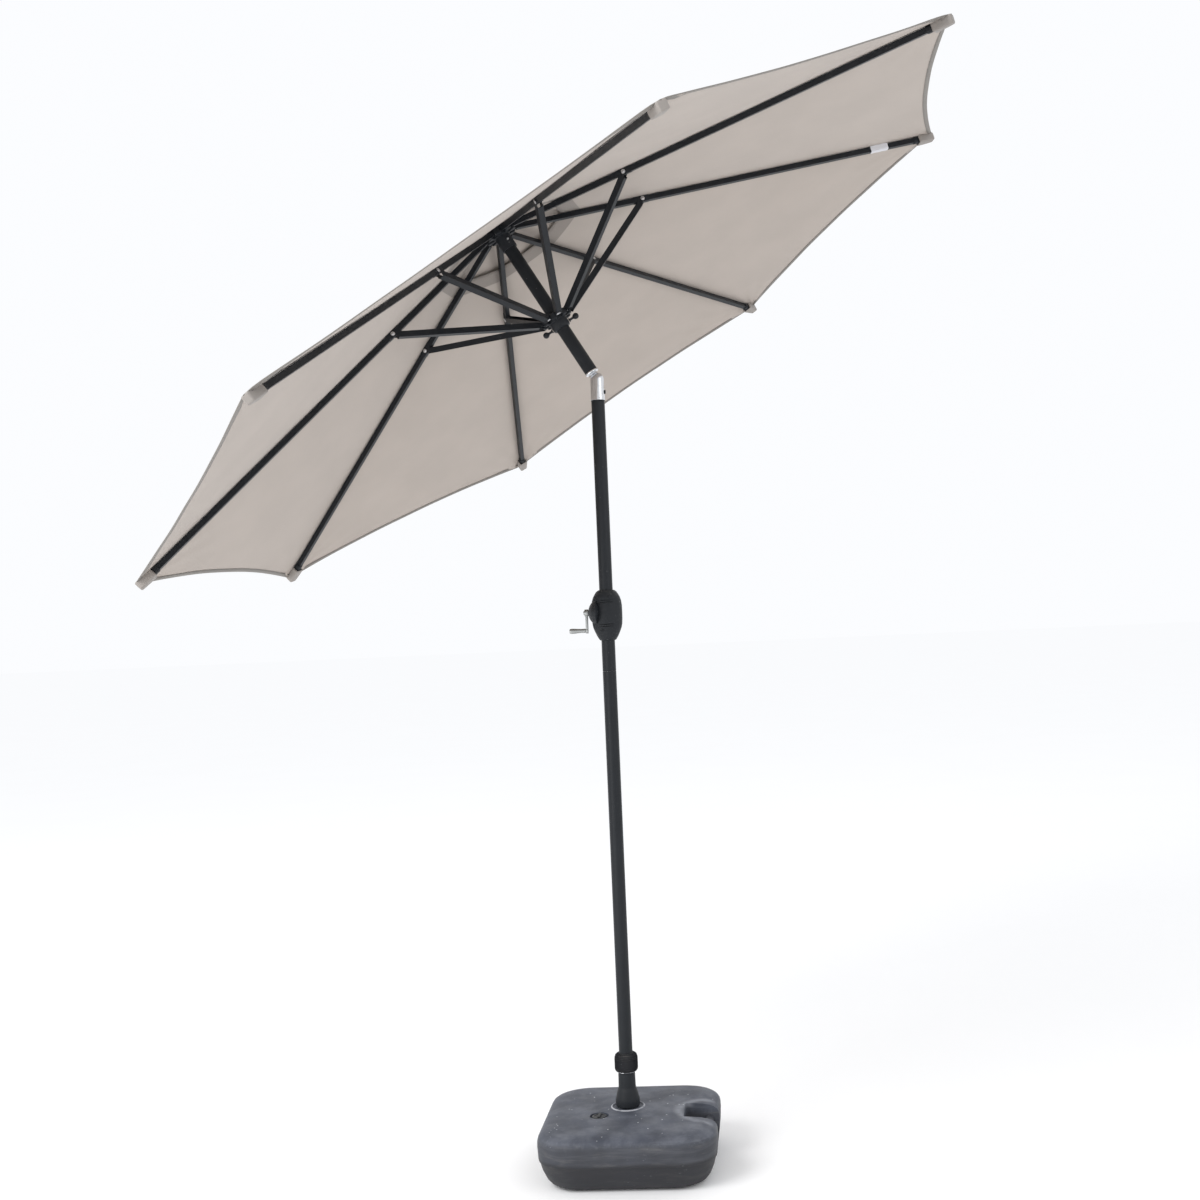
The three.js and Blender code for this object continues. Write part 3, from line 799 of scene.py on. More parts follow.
def strip(name, k, path, settings):
    """A tape that follows a panel's edge: each step of its path is (distance in, height)."""
    cols = 44
    up = away_from(k)
    grid, marks = [], []
    for inward, height in path:
        line, noted = [], []
        for j in range(cols + 1):
            u = j / cols
            edge = edge_along(u)
            point, width = gore_point(k, u, edge - inward, edge, settings)
            line.append(point + up * height)
            noted.append(mark((u - 0.5) * width, inward))
        grid.append(line)
        marks.append(noted)
    return sheet_from(name, grid, marks)


def fold_with(obj):
    """Gives the cloth a mesh of its own."""
    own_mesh(obj)


def dress_cloth(obj, body, *materials):
    """Gives cloth its body and its finishes: the underside's first, then the outer face's. On the canopy
    these are one cloth, painted darker below as shade and lighter above as sunlight.
    """
    for material in materials:
        obj.data.materials.append(material)
    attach(obj, body)


class UMBRELLA_OT_canopy_cloth(bpy.types.Operator):
    """Sew the eight panels, their bound hems and the seams over the ribs"""

    bl_idname = "umbrella.canopy_cloth"
    bl_label = "Canopy panels"

    def execute(self, context):
        s = context.scene.umbrella_cloth
        # One cloth in two copies: the face painted lighter as sunlight, the underside painted darker as
        # shade.
        face = canopy_cloth("canopy_face_painted_sunlight", s.face)
        shaded_underside_cloth = canopy_cloth("canopy_underside_painted_shade", s.underside)
        top = s.thickness + 0.0004
        low = -0.0009
        path = [
            (0.011, top), (0.004, top), (0.0, top), (-0.0012, -0.0001), (0.0, low), (0.006, low),
            (s.hem, low),
        ]
        for k in range(RIBS):
            panel = gore(k, s)
            modified(panel, "SOLIDIFY", thickness=s.thickness, offset=1.0, material_offset=0)
            paint_sides(panel, k)
            hem = strip(f"canopy_hem_{k + 1}", k, path, s)
            modified(hem, "SOLIDIFY", thickness=0.0004, offset=0.0)
            dress_cloth(panel, f"panel_{k + 1}", shaded_underside_cloth, face)
            dress_cloth(hem, f"panel_{k + 1}", binding())
            for obj in (panel, hem):
                smoothed(moved(obj, CANOPY))
                fold_with(obj)
            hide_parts(f"canopy_panel_{k + 1}")
        seams(s)
        return {"FINISHED"}


def paint_sides(panel, k):
    """The face that looks away from the ribs takes the second finish, the cloth painted lighter as sunlight;
    the rest keeps the first, painted darker as shade.
    """
    a = rib_angle(k + 0.5)
    outward = Vector((math.sin(DROOP) * math.cos(a), math.sin(DROOP) * math.sin(a), math.cos(DROOP)))
    for polygon in panel.data.polygons:
        polygon.material_index = 1 if polygon.normal.dot(outward) > 0.2 else 0


def seams(settings):
    """The felled seam over each rib, a low rounded ridge from the vent to the corner."""
    section = [
        (-0.0062, 0.0), (-0.0056, 0.0009), (-0.003, 0.0012), (0, 0.0014), (0.003, 0.0012),
        (0.0056, 0.0009), (0.0062, 0.0),
    ]
    steps = 80
    for k in range(RIBS):
        grid, marks = [], []
        for i in range(steps + 1):
            along = VENT_ALONG + (RIB_LENGTH - VENT_ALONG) * i / steps
            ripple = 0.0003 * math.sin(along * math.tau / PUCKER_PITCH + k)
            foot = CLOTH_LIFT + settings.thickness - 0.0004
            grid.append([Vector((along, y, foot + z + ripple)) for y, z in section])
            marks.append([mark(y, along) for y, _ in section])
        seam = sheet_from(f"canopy_seam_{k + 1}", grid, marks)
        modified(seam, "SOLIDIFY", thickness=0.0003, offset=0.0)
        smoothed(moved(seam, rib_frame(k)))
        dress_cloth(seam, f"rib_{k + 1}", bpy.data.materials["canopy_face_painted_sunlight"])


class UMBRELLA_OT_vent_cap(bpy.types.Operator):
    """Sew the small cap over the wind vent, in eight gores"""

    bl_idname = "umbrella.vent_cap"
    bl_label = "Vent cap"

    def execute(self, context):
        s = context.scene.umbrella_cloth
        low = on_rib(0, (CAP_RADIUS - PIN_RADIUS) / math.cos(DROOP), CLOTH_LIFT + 0.001).z + 0.007
        high = HUB_Z + 0.0345
        inner, crown = 0.020, 0.026
        rows, cols = 24, 20
        sides = ("canopy_underside_painted_shade", "canopy_face_painted_sunlight")
        for k in range(RIBS):
            a, b = rib_angle(k), rib_angle(k + 1)
            left, right = Vector((math.cos(a), math.sin(a), 0)), Vector((math.cos(b), math.sin(b), 0))
            grid, marks = [], []
            for i in range(rows + 1):
                v = i / rows
                line, noted = [], []
                for j in range(-1, cols + 2):
                    u = min(1.0, max(0.0, j / cols))
                    edge = CAP_RADIUS - 0.010 * bulge(u)
                    r = inner + (edge - inner) * v
                    width = 2 * r * math.sin(RIB_STEP / 2)
                    turned_in = (j / cols - u) * cols * SEAM_ALLOWANCE / width
                    z = high + (low - high) * max(0.0, (r - crown) / (CAP_RADIUS - crown))
                    slack = -0.004 * bulge(u) * math.sin(math.pi * v)
                    wave = 0.0012 * v * bulge(u) * math.sin(u * 17 + k * 2.1)
                    line.append(left.lerp(right, u + turned_in) * r + Vector((0, 0, z + slack + wave)))
                    # The cap's outer rim falls within the vent's painted shade band, so it is darkened as
                    # shade too.
                    from_vent = (1 - v) * 0.28 + 0.044
                    noted.append(mark((u - 0.5) * width, r, min(u, 1 - u) * width, from_vent))
                grid.append(line)
                marks.append(noted)
            cap = sheet_from(f"vent_cap_gore_{k + 1}", grid, marks)
            modified(cap, "SOLIDIFY", thickness=s.thickness, offset=1.0)
            paint_sides(cap, k)
            smoothed(moved(cap, CANOPY))
            dress_cloth(cap, f"panel_{k + 1}", *[bpy.data.materials[name] for name in sides])
            fold_with(cap)
            wide = 2 * CAP_RADIUS * math.sin(RIB_STEP / 2)
            wide += 2 * SEAM_ALLOWANCE
        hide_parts("vent_cap")
        return {"FINISHED"}


class UMBRELLA_OT_corner_pockets(bpy.types.Operator):
    """Sew a pocket over each rib's end, and the care label round one rib"""

    bl_idname = "umbrella.corner_pockets"
    bl_label = "Corner pockets"

    def execute(self, context):
        pocket_cloth = material_named("pocket_cloth", binding_cloth, (0.270, 0.245, 0.225))
        for k in range(RIBS):
            pocket = block("pocket", (0.054, 0.031, 0.0262), (RIB_LENGTH - 0.020, 0, -0.0010), 0.005, 4)
            top = 0.0110
            for vertex in pocket.data.vertices:
                out = max(0.0, vertex.co.x - (RIB_LENGTH - 0.040)) / 0.047
                vertex.co.y *= 1.10 - 0.34 * out * out
                vertex.co.z = top + (vertex.co.z - top) * (1.0 - 0.08 * out * out)
            modified(pocket, "SUBSURF", levels=2, render_levels=2)
            mouth = block("mouth", (0.070, 0.0245, 0.0222), (RIB_LENGTH - 0.044, 0, -0.0010), 0.003)
            cut(pocket, mouth)
            moved(pocket, rib_frame(k))
            named(pocket, f"corner_pocket_{k + 1}")
            dressed(pocket, pocket_cloth, f"rib_{k + 1}", smooth=60)
        label_on(1)
        return {"FINISHED"}


def label_on(k):
    """A blank satin label folded round the underside of a rib."""
    path = [
        (-0.0098, 0.009), (-0.0086, 0.0), (-0.0082, -0.0074), (-0.005, -0.0090), (0.005, -0.0090),
        (0.0082, -0.0074), (0.0086, 0.0), (0.0098, 0.009),
    ]
    steps, start, length = 12, 1.145, 0.058
    grid, marks = [], []
    for y, z in path:
        line = []
        for i in range(steps + 1):
            ripple = 0.0005 * math.sin(i * 1.3 + z * 300)
            line.append(Vector((start + length * i / steps, y, z + ripple)))
        grid.append(line)
        marks.append([mark(i * 0.005, z) for i in range(steps + 1)])
    label = sheet_from("care_label", grid, marks)
    modified(label, "SOLIDIFY", thickness=0.0004, offset=0.0)
    moved(label, rib_frame(k))
    satin = binding_cloth("label_satin", (0.60, 0.60, 0.63))
    dressed(label, satin, f"rib_{k + 1}", smooth=60)


# ---- Frame pieces ----
class UMBRELLA_OT_ribs_and_struts(bpy.types.Operator):
    """Finish the ribs, struts and end caps, and set the brackets and rivets"""

    bl_idname = "umbrella.ribs_and_struts"
    bl_label = "Ribs and struts"

    def execute(self, context):
        reach = STRUT_SEAT * math.cos(DROOP)
        rise = RUNNER_DROP - STRUT_SEAT * math.sin(DROOP)
        length, pitch = math.hypot(reach, rise), -math.atan2(rise, reach)
        heads = []
        for side in (1, -1):
            heads.append(ball("head", 0.0046, (length, side * 0.0090, 0), (1, 0.45, 1)))
            heads.append(rod("washer", 0.0062, 0.0008, (length, side * 0.0092, 0), "Y", 24))
        rivet = joined("rivet", heads)
        middle = STRUT_SEAT - 0.004
        saddle = block("saddle", (0.046, 0.0150, RIB_HEIGHT + 0.0024), (middle, 0, 0.0002), 0.0003)
        hollow = block("hollow", (0.090, 0.0142, RIB_HEIGHT + 0.0003), (middle, 0, 0))
        cut(saddle, hollow)
        for k in range(RIBS):
            for node in (f"rib_{k + 1}", f"strut_{k + 1}"):
                finish_node(node, coat_paint())
            finish_node(f"rib_tip_{k + 1}", black_moulding())
            to_strut = rib_frame(k, HUB_Z - RUNNER_DROP, pitch)
            pin = copied(rivet, f"strut_rivet_{k + 1}", to_strut)
            dressed(pin, zinc(), f"strut_{k + 1}")
            bracket = copied(saddle, f"rib_saddle_{k + 1}", rib_frame(k))
            dressed(bracket, black_moulding(), f"rib_{k + 1}")
        thrown_away(rivet, saddle)
        return {"FINISHED"}


def slotted(disc, width, start, low, high):
    """Cuts the eight slots that the arms swing in."""
    tools = []
    for k in range(RIBS):
        tool = block("slot", (0.06, width, high - low), (start + 0.03, 0, (high + low) / 2))
        tools.append(moved(tool, Matrix.Rotation(rib_angle(k), 4, "Z")))
    return cut(disc, joined("slots", tools))


def cross_pins(width):
    pins = []
    for k in range(RIBS):
        pin = rod("pin", 0.0024, width + 0.004, (PIN_RADIUS, 0, 0), "Y", 16)
        pins.append(moved(pin, Matrix.Rotation(rib_angle(k), 4, "Z")))
    return joined("pins", pins)


def sleeve_rivets(name, radius, height):
    """Two rivet heads on opposite sides of a sleeve."""
    heads = []
    for degrees in (-62, 118):
        a = math.radians(degrees)
        head = ball("head", 0.0034, (0, 0, 0), (0.45, 1, 1))
        heads.append(moved(head, Matrix.Rotation(a, 4, "Z") @ Matrix.Translation((radius, 0, height))))
    return joined(name, heads)


class UMBRELLA_OT_hub_and_runner(bpy.types.Operator):
    """Mould the notched hub, the sliding runner with its two pegs, and the finial"""

    bl_idname = "umbrella.hub_and_runner"
    bl_label = "Hub, runner and finial"

    def execute(self, context):
        black = black_moulding()
        hub = turned("top_hub_moulding", [
            (0.0192, -0.054), (0.0222, -0.054), (0.0227, -0.0525), (0.0229, -0.012), (0.0245, -0.0108),
            (0.0452, -0.0108), (0.0468, -0.0090), (0.0470, 0.0090), (0.0455, 0.0110), (0.0440, 0.0118),
            (0.0245, 0.0120), (0.0225, 0.0150), (0.0220, 0.0285), (0.0205, 0.0300), (0.0, 0.0300),
            (0.0, 0.0052), (0.0192, 0.0050), (0.0192, -0.054),
        ])
        slotted(hub, 0.0152, 0.025, -0.04, 0.04)
        bevelled(hub, 0.0007, 2, 50)
        moved(hub, AT_HUB)
        dressed(hub, black, "canopy", ["top_hub"])
        pins = moved(cross_pins(0.0152), AT_HUB)
        dressed(named(pins, "hub_pins"), zinc(), "canopy")
        studs = sleeve_rivets("hub_sleeve_rivets", 0.0228, -0.030)
        moved(studs, AT_HUB)
        dressed(studs, zinc(), "canopy")

        runner = turned("runner_moulding", [
            (0.0195, -0.034), (0.0232, -0.034), (0.0250, -0.0325), (0.0262, -0.030), (0.0270, -0.010),
            (0.0280, -0.0090), (0.0450, -0.0090), (0.0468, -0.0070), (0.0470, 0.0070), (0.0452, 0.0090),
            (0.0285, 0.0095), (0.0270, 0.0105), (0.0262, 0.0150), (0.0250, 0.0160), (0.0195, 0.0160),
            (0.0195, -0.034),
        ])
        slotted(runner, 0.0188, 0.0285, -0.04, 0.04)
        bevelled(runner, 0.0006, 2, 50)
        dressed(moved(runner, AT_RUNNER), black, "runner", ["runner"])
        pins = moved(cross_pins(0.0188), AT_RUNNER)
        dressed(named(pins, "runner_pins"), zinc(), "runner")
        studs = moved(sleeve_rivets("runner_rivets", 0.0262, 0.0128), AT_RUNNER)
        dressed(studs, zinc(), "runner")
        for side, turn in (("right", 0), ("left", math.pi)):
            stem = turned("peg", [
                (0.0, 0.0272), (0.0060, 0.0274), (0.0058, 0.0300), (0.0038, 0.0312), (0.0034, 0.0330),
                (0.0034, 0.0405), (0.0052, 0.0425), (0.0078, 0.0455), (0.0089, 0.0490), (0.0088, 0.0520),
                (0.0074, 0.0555), (0.0046, 0.0580), (0.0020, 0.0589), (0.0, 0.0590),
            ], 32)
            matrix = AT_RUNNER @ Matrix.Translation((0, 0, -PEG_DROP)) @ Matrix.Rotation(turn, 4, "Z")
            moved(stem, matrix @ Matrix.Rotation(math.pi / 2, 4, "Y"))
            named(stem, f"runner_peg_{side}_moulding")
            dressed(stem, black, "runner", [f"runner_peg_{side}"])

        finial = turned("finial_cap", [
            (0.0, 0.0302), (0.005, 0.0302), (0.005, 0.0358), (0.0200, 0.0358), (0.0209, 0.0364),
            (0.0210, 0.0372), (0.0198, 0.0386), (0.0162, 0.0398), (0.0120, 0.0407), (0.0070, 0.0413),
            (0.0, 0.0414),
        ], 48)
        moved(finial, AT_HUB)
        dressed(finial, black, "canopy", ["finial"])
        for node in ("cord_pulley", "pulley_pin"):
            finish_node(node, zinc())
        return {"FINISHED"}


def pole(name, low, high):
    """A coated tube with its ends broken over."""
    return turned(name, [
        (BORE_R, low + 0.0006), (BORE_R + 0.0005, low), (POLE_R - 0.0008, low), (POLE_R, low + 0.0010),
        (POLE_R, high - 0.0010), (POLE_R - 0.0008, high), (BORE_R + 0.0005, high), (BORE_R, high - 0.0006),
        (BORE_R, low + 0.0006),
    ])


class UMBRELLA_OT_poles(bpy.types.Operator):
    """Draw the three coated tubes, and the spigot inside the seam"""

    bl_idname = "umbrella.poles"
    bl_label = "Poles"

    def execute(self, context):
        lower = pole("lower_pole_tube", 0.013, SEAM_Z - 0.0003)
        dressed(lower, coat_paint(), "mast", ["lower_pole"])
        middle = pole("crank_pole_tube", SEAM_Z, KNUCKLE_Z - 0.060)
        dressed(middle, coat_paint(), "mast", ["crank_pole"])
        upper = moved(pole("upper_pole_tube", 0.0303, HUB_Z + 0.004), CANOPY)
        dressed(upper, coat_paint(), "canopy", ["upper_pole"])
        spigot = turned("pole_spigot", [
            (0.0152, SEAM_Z - 0.09), (0.0172, SEAM_Z - 0.09), (0.0172, SEAM_Z + 0.002),
            (0.0152, SEAM_Z + 0.002), (0.0152, SEAM_Z - 0.09),
        ], 48)
        dressed(spigot, zinc(), "mast")
        return {"FINISHED"}


class UMBRELLA_OT_tilt_knuckle(bpy.types.Operator):
    """Make the plated fork and tongue, the pin and the push button"""

    bl_idname = "umbrella.tilt_knuckle"
    bl_label = "Tilt knuckle"

    def execute(self, context):
        chrome, black = bright_chrome(), black_moulding()
        at = Matrix.Translation((0, 0, KNUCKLE_Z))
        fork = turned("tilt_fork_plated", [
            (0.0, -0.088), (0.0168, -0.088), (0.0172, -0.0875), (0.0172, -0.0582), (0.0194, -0.0580),
            (0.0200, -0.0572), (0.0200, 0.0030), (0.0194, 0.0072), (0.0178, 0.0120), (0.0152, 0.0160),
            (0.0118, 0.0190), (0.0070, 0.0206), (0.0, 0.0210),
        ])
        slot = block("slot", (0.06, 0.014, 0.060), (0, 0, 0.003))
        hole = rod("hole", 0.0064, 0.030, (0.016, 0, -BUTTON_DROP), "X")
        cut(fork, slot, hole)
        bevelled(fork, 0.0006, 2, 45)
        dressed(moved(fork, at), chrome, "mast", ["tilt_fork"])
        washer = turned("knuckle_washer", [
            (0.0174, -0.0598), (0.0196, -0.0598), (0.0202, -0.0594), (0.0202, -0.0586), (0.0196, -0.0582),
            (0.0174, -0.0582), (0.0174, -0.0598),
        ])
        dressed(moved(washer, at), black, "mast")
        pin = turned("tilt_pin_plated", [
            (0.0, -0.0196), (0.0030, -0.0194), (0.0040, -0.0186), (0.0040, 0.0186), (0.0030, 0.0194),
            (0.0, 0.0196),
        ], 32)
        moved(pin, at @ Matrix.Rotation(math.pi / 2, 4, "X"))
        dressed(pin, zinc(), "mast", ["tilt_pin"])
        button = turned("tilt_push_button", [
            (0.0, 0.004), (0.0060, 0.004), (0.0060, 0.0208), (0.0056, 0.0222), (0.0044, 0.0229),
            (0.0, 0.0230),
        ], 32)
        down = Matrix.Translation((0, 0, -BUTTON_DROP))
        moved(button, at @ down @ Matrix.Rotation(math.pi / 2, 4, "Y"))
        dressed(button, black, "button", ["tilt_button"])
        tongue = rod("tongue", 0.017, 0.0128, (0, 0, 0), "Y", 48, 0.0008)
        neck = block("neck", (0.0262, 0.0128, 0.0235), (0, 0, 0.0138), 0.0010)
        ferrule = turned("ferrule", [
            (0.0, 0.0240), (0.0180, 0.0240), (0.0196, 0.0246), (0.0200, 0.0256), (0.0200, 0.0288),
            (0.0196, 0.0298), (0.0172, 0.0300), (0.0172, 0.0620), (0.0, 0.0620),
        ])
        swivel = joined("tilt_tongue_plated", [tongue, neck, ferrule])
        dressed(moved(swivel, CANOPY), chrome, "canopy", ["tilt_tongue"])
        return {"FINISHED"}


HOUSING = [
    (0.0218, 0.0212, -0.0790), (0.0232, 0.0230, -0.0780), (0.0295, 0.0275, -0.0680),
    (0.0350, 0.0312, -0.0560), (0.0398, 0.0346, -0.0440), (0.0420, 0.0366, -0.0340),
    (0.0430, 0.0378, -0.0200), (0.0432, 0.0380, 0.0000), (0.0430, 0.0378, 0.0180),
    (0.0412, 0.0366, 0.0320), (0.0375, 0.0346, 0.0430), (0.0330, 0.0310, 0.0510),
    (0.0290, 0.0275, 0.0570), (0.0235, 0.0232, 0.0612), (0.0220, 0.0214, 0.0620),
]


def draw_up(sections):
    """Extrudes the selected outline from section to section, resizing it to each, and closes the edit."""
    x, y, z = sections[0]
    for nx, ny, nz in sections[1:]:
        bpy.ops.mesh.extrude_region_move(TRANSFORM_OT_translate={"value": (0, 0, nz - z)})
        bpy.ops.transform.resize(value=(nx / x, ny / y, 1), center_override=(0, 0, nz))
        x, y, z = nx, ny, nz
    bpy.ops.mesh.select_all(action="SELECT")
    bpy.ops.mesh.normals_make_consistent(inside=False)
    bpy.ops.object.mode_set(mode="OBJECT")


def ringed(name, sections, count):
    """A moulding drawn up ring by ring: a disc, extruded and resized to each section."""
    fresh()
    x, y, z = sections[0]
    bpy.ops.mesh.primitive_circle_add(vertices=count, radius=1, fill_type="NGON", location=(0, 0, z))
    obj = settle(bpy.context.object)
    bpy.ops.object.mode_set(mode="EDIT")
    bpy.ops.mesh.select_all(action="SELECT")
    bpy.ops.transform.resize(value=(x, y, 1), center_override=(0, 0, z))
    draw_up(sections)
    return named(obj, name)


class UMBRELLA_OT_crank(bpy.types.Operator):
    """Mould the two-part crank housing, and fit the arm and its knob"""

    bl_idname = "umbrella.crank"
    bl_label = "Crank"

    def execute(self, context):
        black = black_moulding()
        # The arm and knob's plating colour is darkened: painted shade and dark reflection on the plated
        # metal.
        worn = material_named("worn_plating", plated, (0.36, 0.37, 0.365), 0.30, 0.12)
        body = ringed("housing", HOUSING, 64)
        boss = turned("boss", [
            (0.0, 0.012), (0.0575, 0.027), (0.0530, 0.0335), (0.0470, 0.0390), (0.0400, 0.0434),
            (0.0320, 0.0470), (0.0250, 0.0492), (0.0210, 0.0499), (0.0100, 0.0500), (0.0, 0.0500),
        ], 56)
        moved(boss, Matrix.Diagonal((0.65, 1, 1, 1)))
        moved(boss, Matrix.Rotation(-math.pi / 2, 4, "Y"))
        cut(body, boss, operation="UNION")
        grooves = []
        for z in (-0.0395, -0.034, 0.028, 0.0335):
            grooves.append(block("groove", (0.12, 0.020, 0.0022), (0, -0.0405, z)))
        cut(body, joined("grooves", grooves))
        bore = rod("bore", POLE_R + 0.0003, 0.3, (0, 0, 0), "Z", 64)
        shaft = rod("shaft", 0.0046, 0.06, (-0.05, 0, 0), "X", 32)
        cut(body, bore, shaft)
        bevelled(body, 0.0006, 2, 45)
        moved(body, Matrix.Translation((0, 0, CRANK_Z)))
        for side, part in ((-1, "front"), (1, "back")):
            half = copied(body, f"housing_{part}", Matrix.Identity(4))
            only(half)
            bpy.ops.object.mode_set(mode="EDIT")
            bpy.ops.mesh.select_all(action="SELECT")
            bpy.ops.mesh.bisect(
                plane_co=(0, side * 0.0002, 0), plane_no=(0, side, 0), use_fill=True, clear_inner=True
            )
            bpy.ops.object.mode_set(mode="OBJECT")
            dressed(half, black, "mast", [f"crank_housing_{part}"])
        thrown_away(body)
        screws = []
        for x, z in ((-0.014, -0.052), (0.014, 0.044)):
            screws.append(ball("screw", 0.0034, (x, -0.0365, CRANK_Z + z), (1, 0.35, 1)))
        dressed(joined("housing_screws", screws), black, "mast")

        low = CRANK_Z - CRANK_ARM
        halfway = CRANK_Z - CRANK_ARM / 2
        arm = block("arm", (0.0068, 0.0138, CRANK_ARM), (CRANK_X, 0, halfway), 0.0012)
        eye = rod("eye", 0.0100, 0.0108, (CRANK_X, 0, CRANK_Z), "X", 40, 0.0010)
        end = rod("end", 0.0080, 0.0069, (CRANK_X, 0, low), "X", 40, 0.0010)
        stem = rod("stem", 0.0030, 0.0400, (CRANK_X - 0.020, 0, low), "X", 24)
        nut = rod("nut", 0.0062, 0.0030, (CRANK_X - 0.0068, 0, CRANK_Z), "X", 6, 0.0005)
        crank = joined("crank_arm_plated", [arm, eye, end, stem, nut])
        dressed(crank, worn, "crank", ["crank_arm"])
        knob = turned("crank_knob_plated", [
            (0.0034, 0.0042), (0.0050, 0.0042), (0.0058, 0.0048), (0.0062, 0.0070), (0.0058, 0.0110),
            (0.0057, 0.0175), (0.0062, 0.0250), (0.0070, 0.0340), (0.0074, 0.0415), (0.0072, 0.0460),
            (0.0064, 0.0490), (0.0050, 0.0500), (0.0034, 0.0500), (0.0034, 0.0042),
        ], 40)
        moved(knob, Matrix.Translation((CRANK_X, 0, low)) @ Matrix.Rotation(-math.pi / 2, 4, "Y"))
        dressed(knob, worn, "knob", ["crank_knob"])
        finish_node("cord_spool", zinc())
        return {"FINISHED"}


# ---- Base ----
TANK_CENTRE = (0.010, -0.011)
TANK = [
    (0.190, 0.183, 0.0000), (0.199, 0.192, 0.0025), (0.212, 0.205, 0.0100), (0.221, 0.214, 0.0220),
    (0.231, 0.224, 0.0460), (0.2370, 0.2295, 0.0690), (0.2374, 0.2299, 0.0700), (0.2395, 0.2320, 0.0712),
    (0.2400, 0.2325, 0.0730), (0.2410, 0.2333, 0.0900), (0.2420, 0.2340, 0.1060), (0.2415, 0.2335, 0.1200),
    (0.2395, 0.2315, 0.1280), (0.2350, 0.2270, 0.1345), (0.2275, 0.2195, 0.1400), (0.2150, 0.2070, 0.1445),
    (0.1960, 0.1880, 0.1483), (0.165, 0.156, 0.1508), (0.110, 0.102, 0.1525), (0.050, 0.047, 0.1530),
]


class UMBRELLA_OT_base_tank(bpy.types.Operator):
    """Blow-mould the tank: crowned top, tucked-in foot, hand hold, filler recess and collar ring"""

    bl_idname = "umbrella.base_tank"
    bl_label = "Base tank"

    def execute(self, context):
        resin = tank_resin(context.scene.umbrella_base)
        fresh()
        x, y, z = TANK[0]
        bpy.ops.mesh.primitive_plane_add(size=2, location=(0, 0, z))
        tank = settle(bpy.context.object)
        bpy.ops.object.mode_set(mode="EDIT")
        bpy.ops.mesh.select_all(action="SELECT")
        bpy.ops.transform.resize(value=(x, y, 1), center_override=(0, 0, z))
        bpy.ops.mesh.bevel(offset=0.074, segments=10, affect="VERTICES")
        bpy.ops.mesh.select_all(action="SELECT")
        draw_up(TANK)
        moved(tank, Matrix.Translation((*TANK_CENTRE, 0)))
        hold = block("hold", (0.134, 0.112, 0.105), (0.226, HOLD_Y, 0.1245), 0.005, 3)
        recess = turned("recess", [
            (0.0, -FILLER_DEPTH), (0.0230, -FILLER_DEPTH), (0.0258, 0.0015 - FILLER_DEPTH),
            (0.0262, 0.02), (0.0, 0.02),
        ], 48)
        moved(recess, Matrix.Translation(FILLER))
        neck = rod("neck", 0.015, 0.05, FILLER, "Z", 40)
        well = rod("well", 0.0246, 0.4, (0, 0, 0.205), "Z", 64)
        ring = turned("ring", [
            (0.0395, -0.004), (0.0475, -0.004), (0.0465, 0.0010), (0.0452, 0.0020), (0.0418, 0.0020),
            (0.0402, 0.0008), (0.0395, -0.004),
        ])
        moved(ring, Matrix.Translation((0, 0, TANK_TOP)))
        cut(tank, hold, recess, neck)
        cut(tank, ring, operation="UNION")
        cut(tank, well)
        bevelled(tank, 0.0022, 3, 40)
        named(tank, "tank_moulding")
        dressed(tank, resin, "base", ["base_tank"], smooth=45)
        grip = rod("hand_grip", 0.0120, 0.130, (0.224, HOLD_Y, 0.106), "Y", 40, 0.002)
        dressed(grip, resin, "base")
        finish_node("base_water", resin)
        low = TANK_TOP - FILLER_DEPTH
        plug = turned("filler_plug_moulding", [
            (0.0, -0.014), (0.0132, -0.014), (0.0140, -0.013), (0.0140, 0.0003), (0.0206, 0.0003),
            (0.0210, 0.0010), (0.0210, 0.0066), (0.0202, 0.0084), (0.0186, 0.0090), (0.0150, 0.0090),
            (0.0140, 0.0078), (0.0, 0.0078),
        ], 48)
        moved(plug, Matrix.Translation((FILLER.x, FILLER.y, low)))
        bar = block("bar", (0.0080, 0.0330, 0.0062), (FILLER.x, FILLER.y, low + 0.0092), 0.0016)
        cap = joined("filler_plug_moulding", [plug, bar])
        dressed(cap, black_moulding(), "plug", ["filler_plug"])
        return {"FINISHED"}


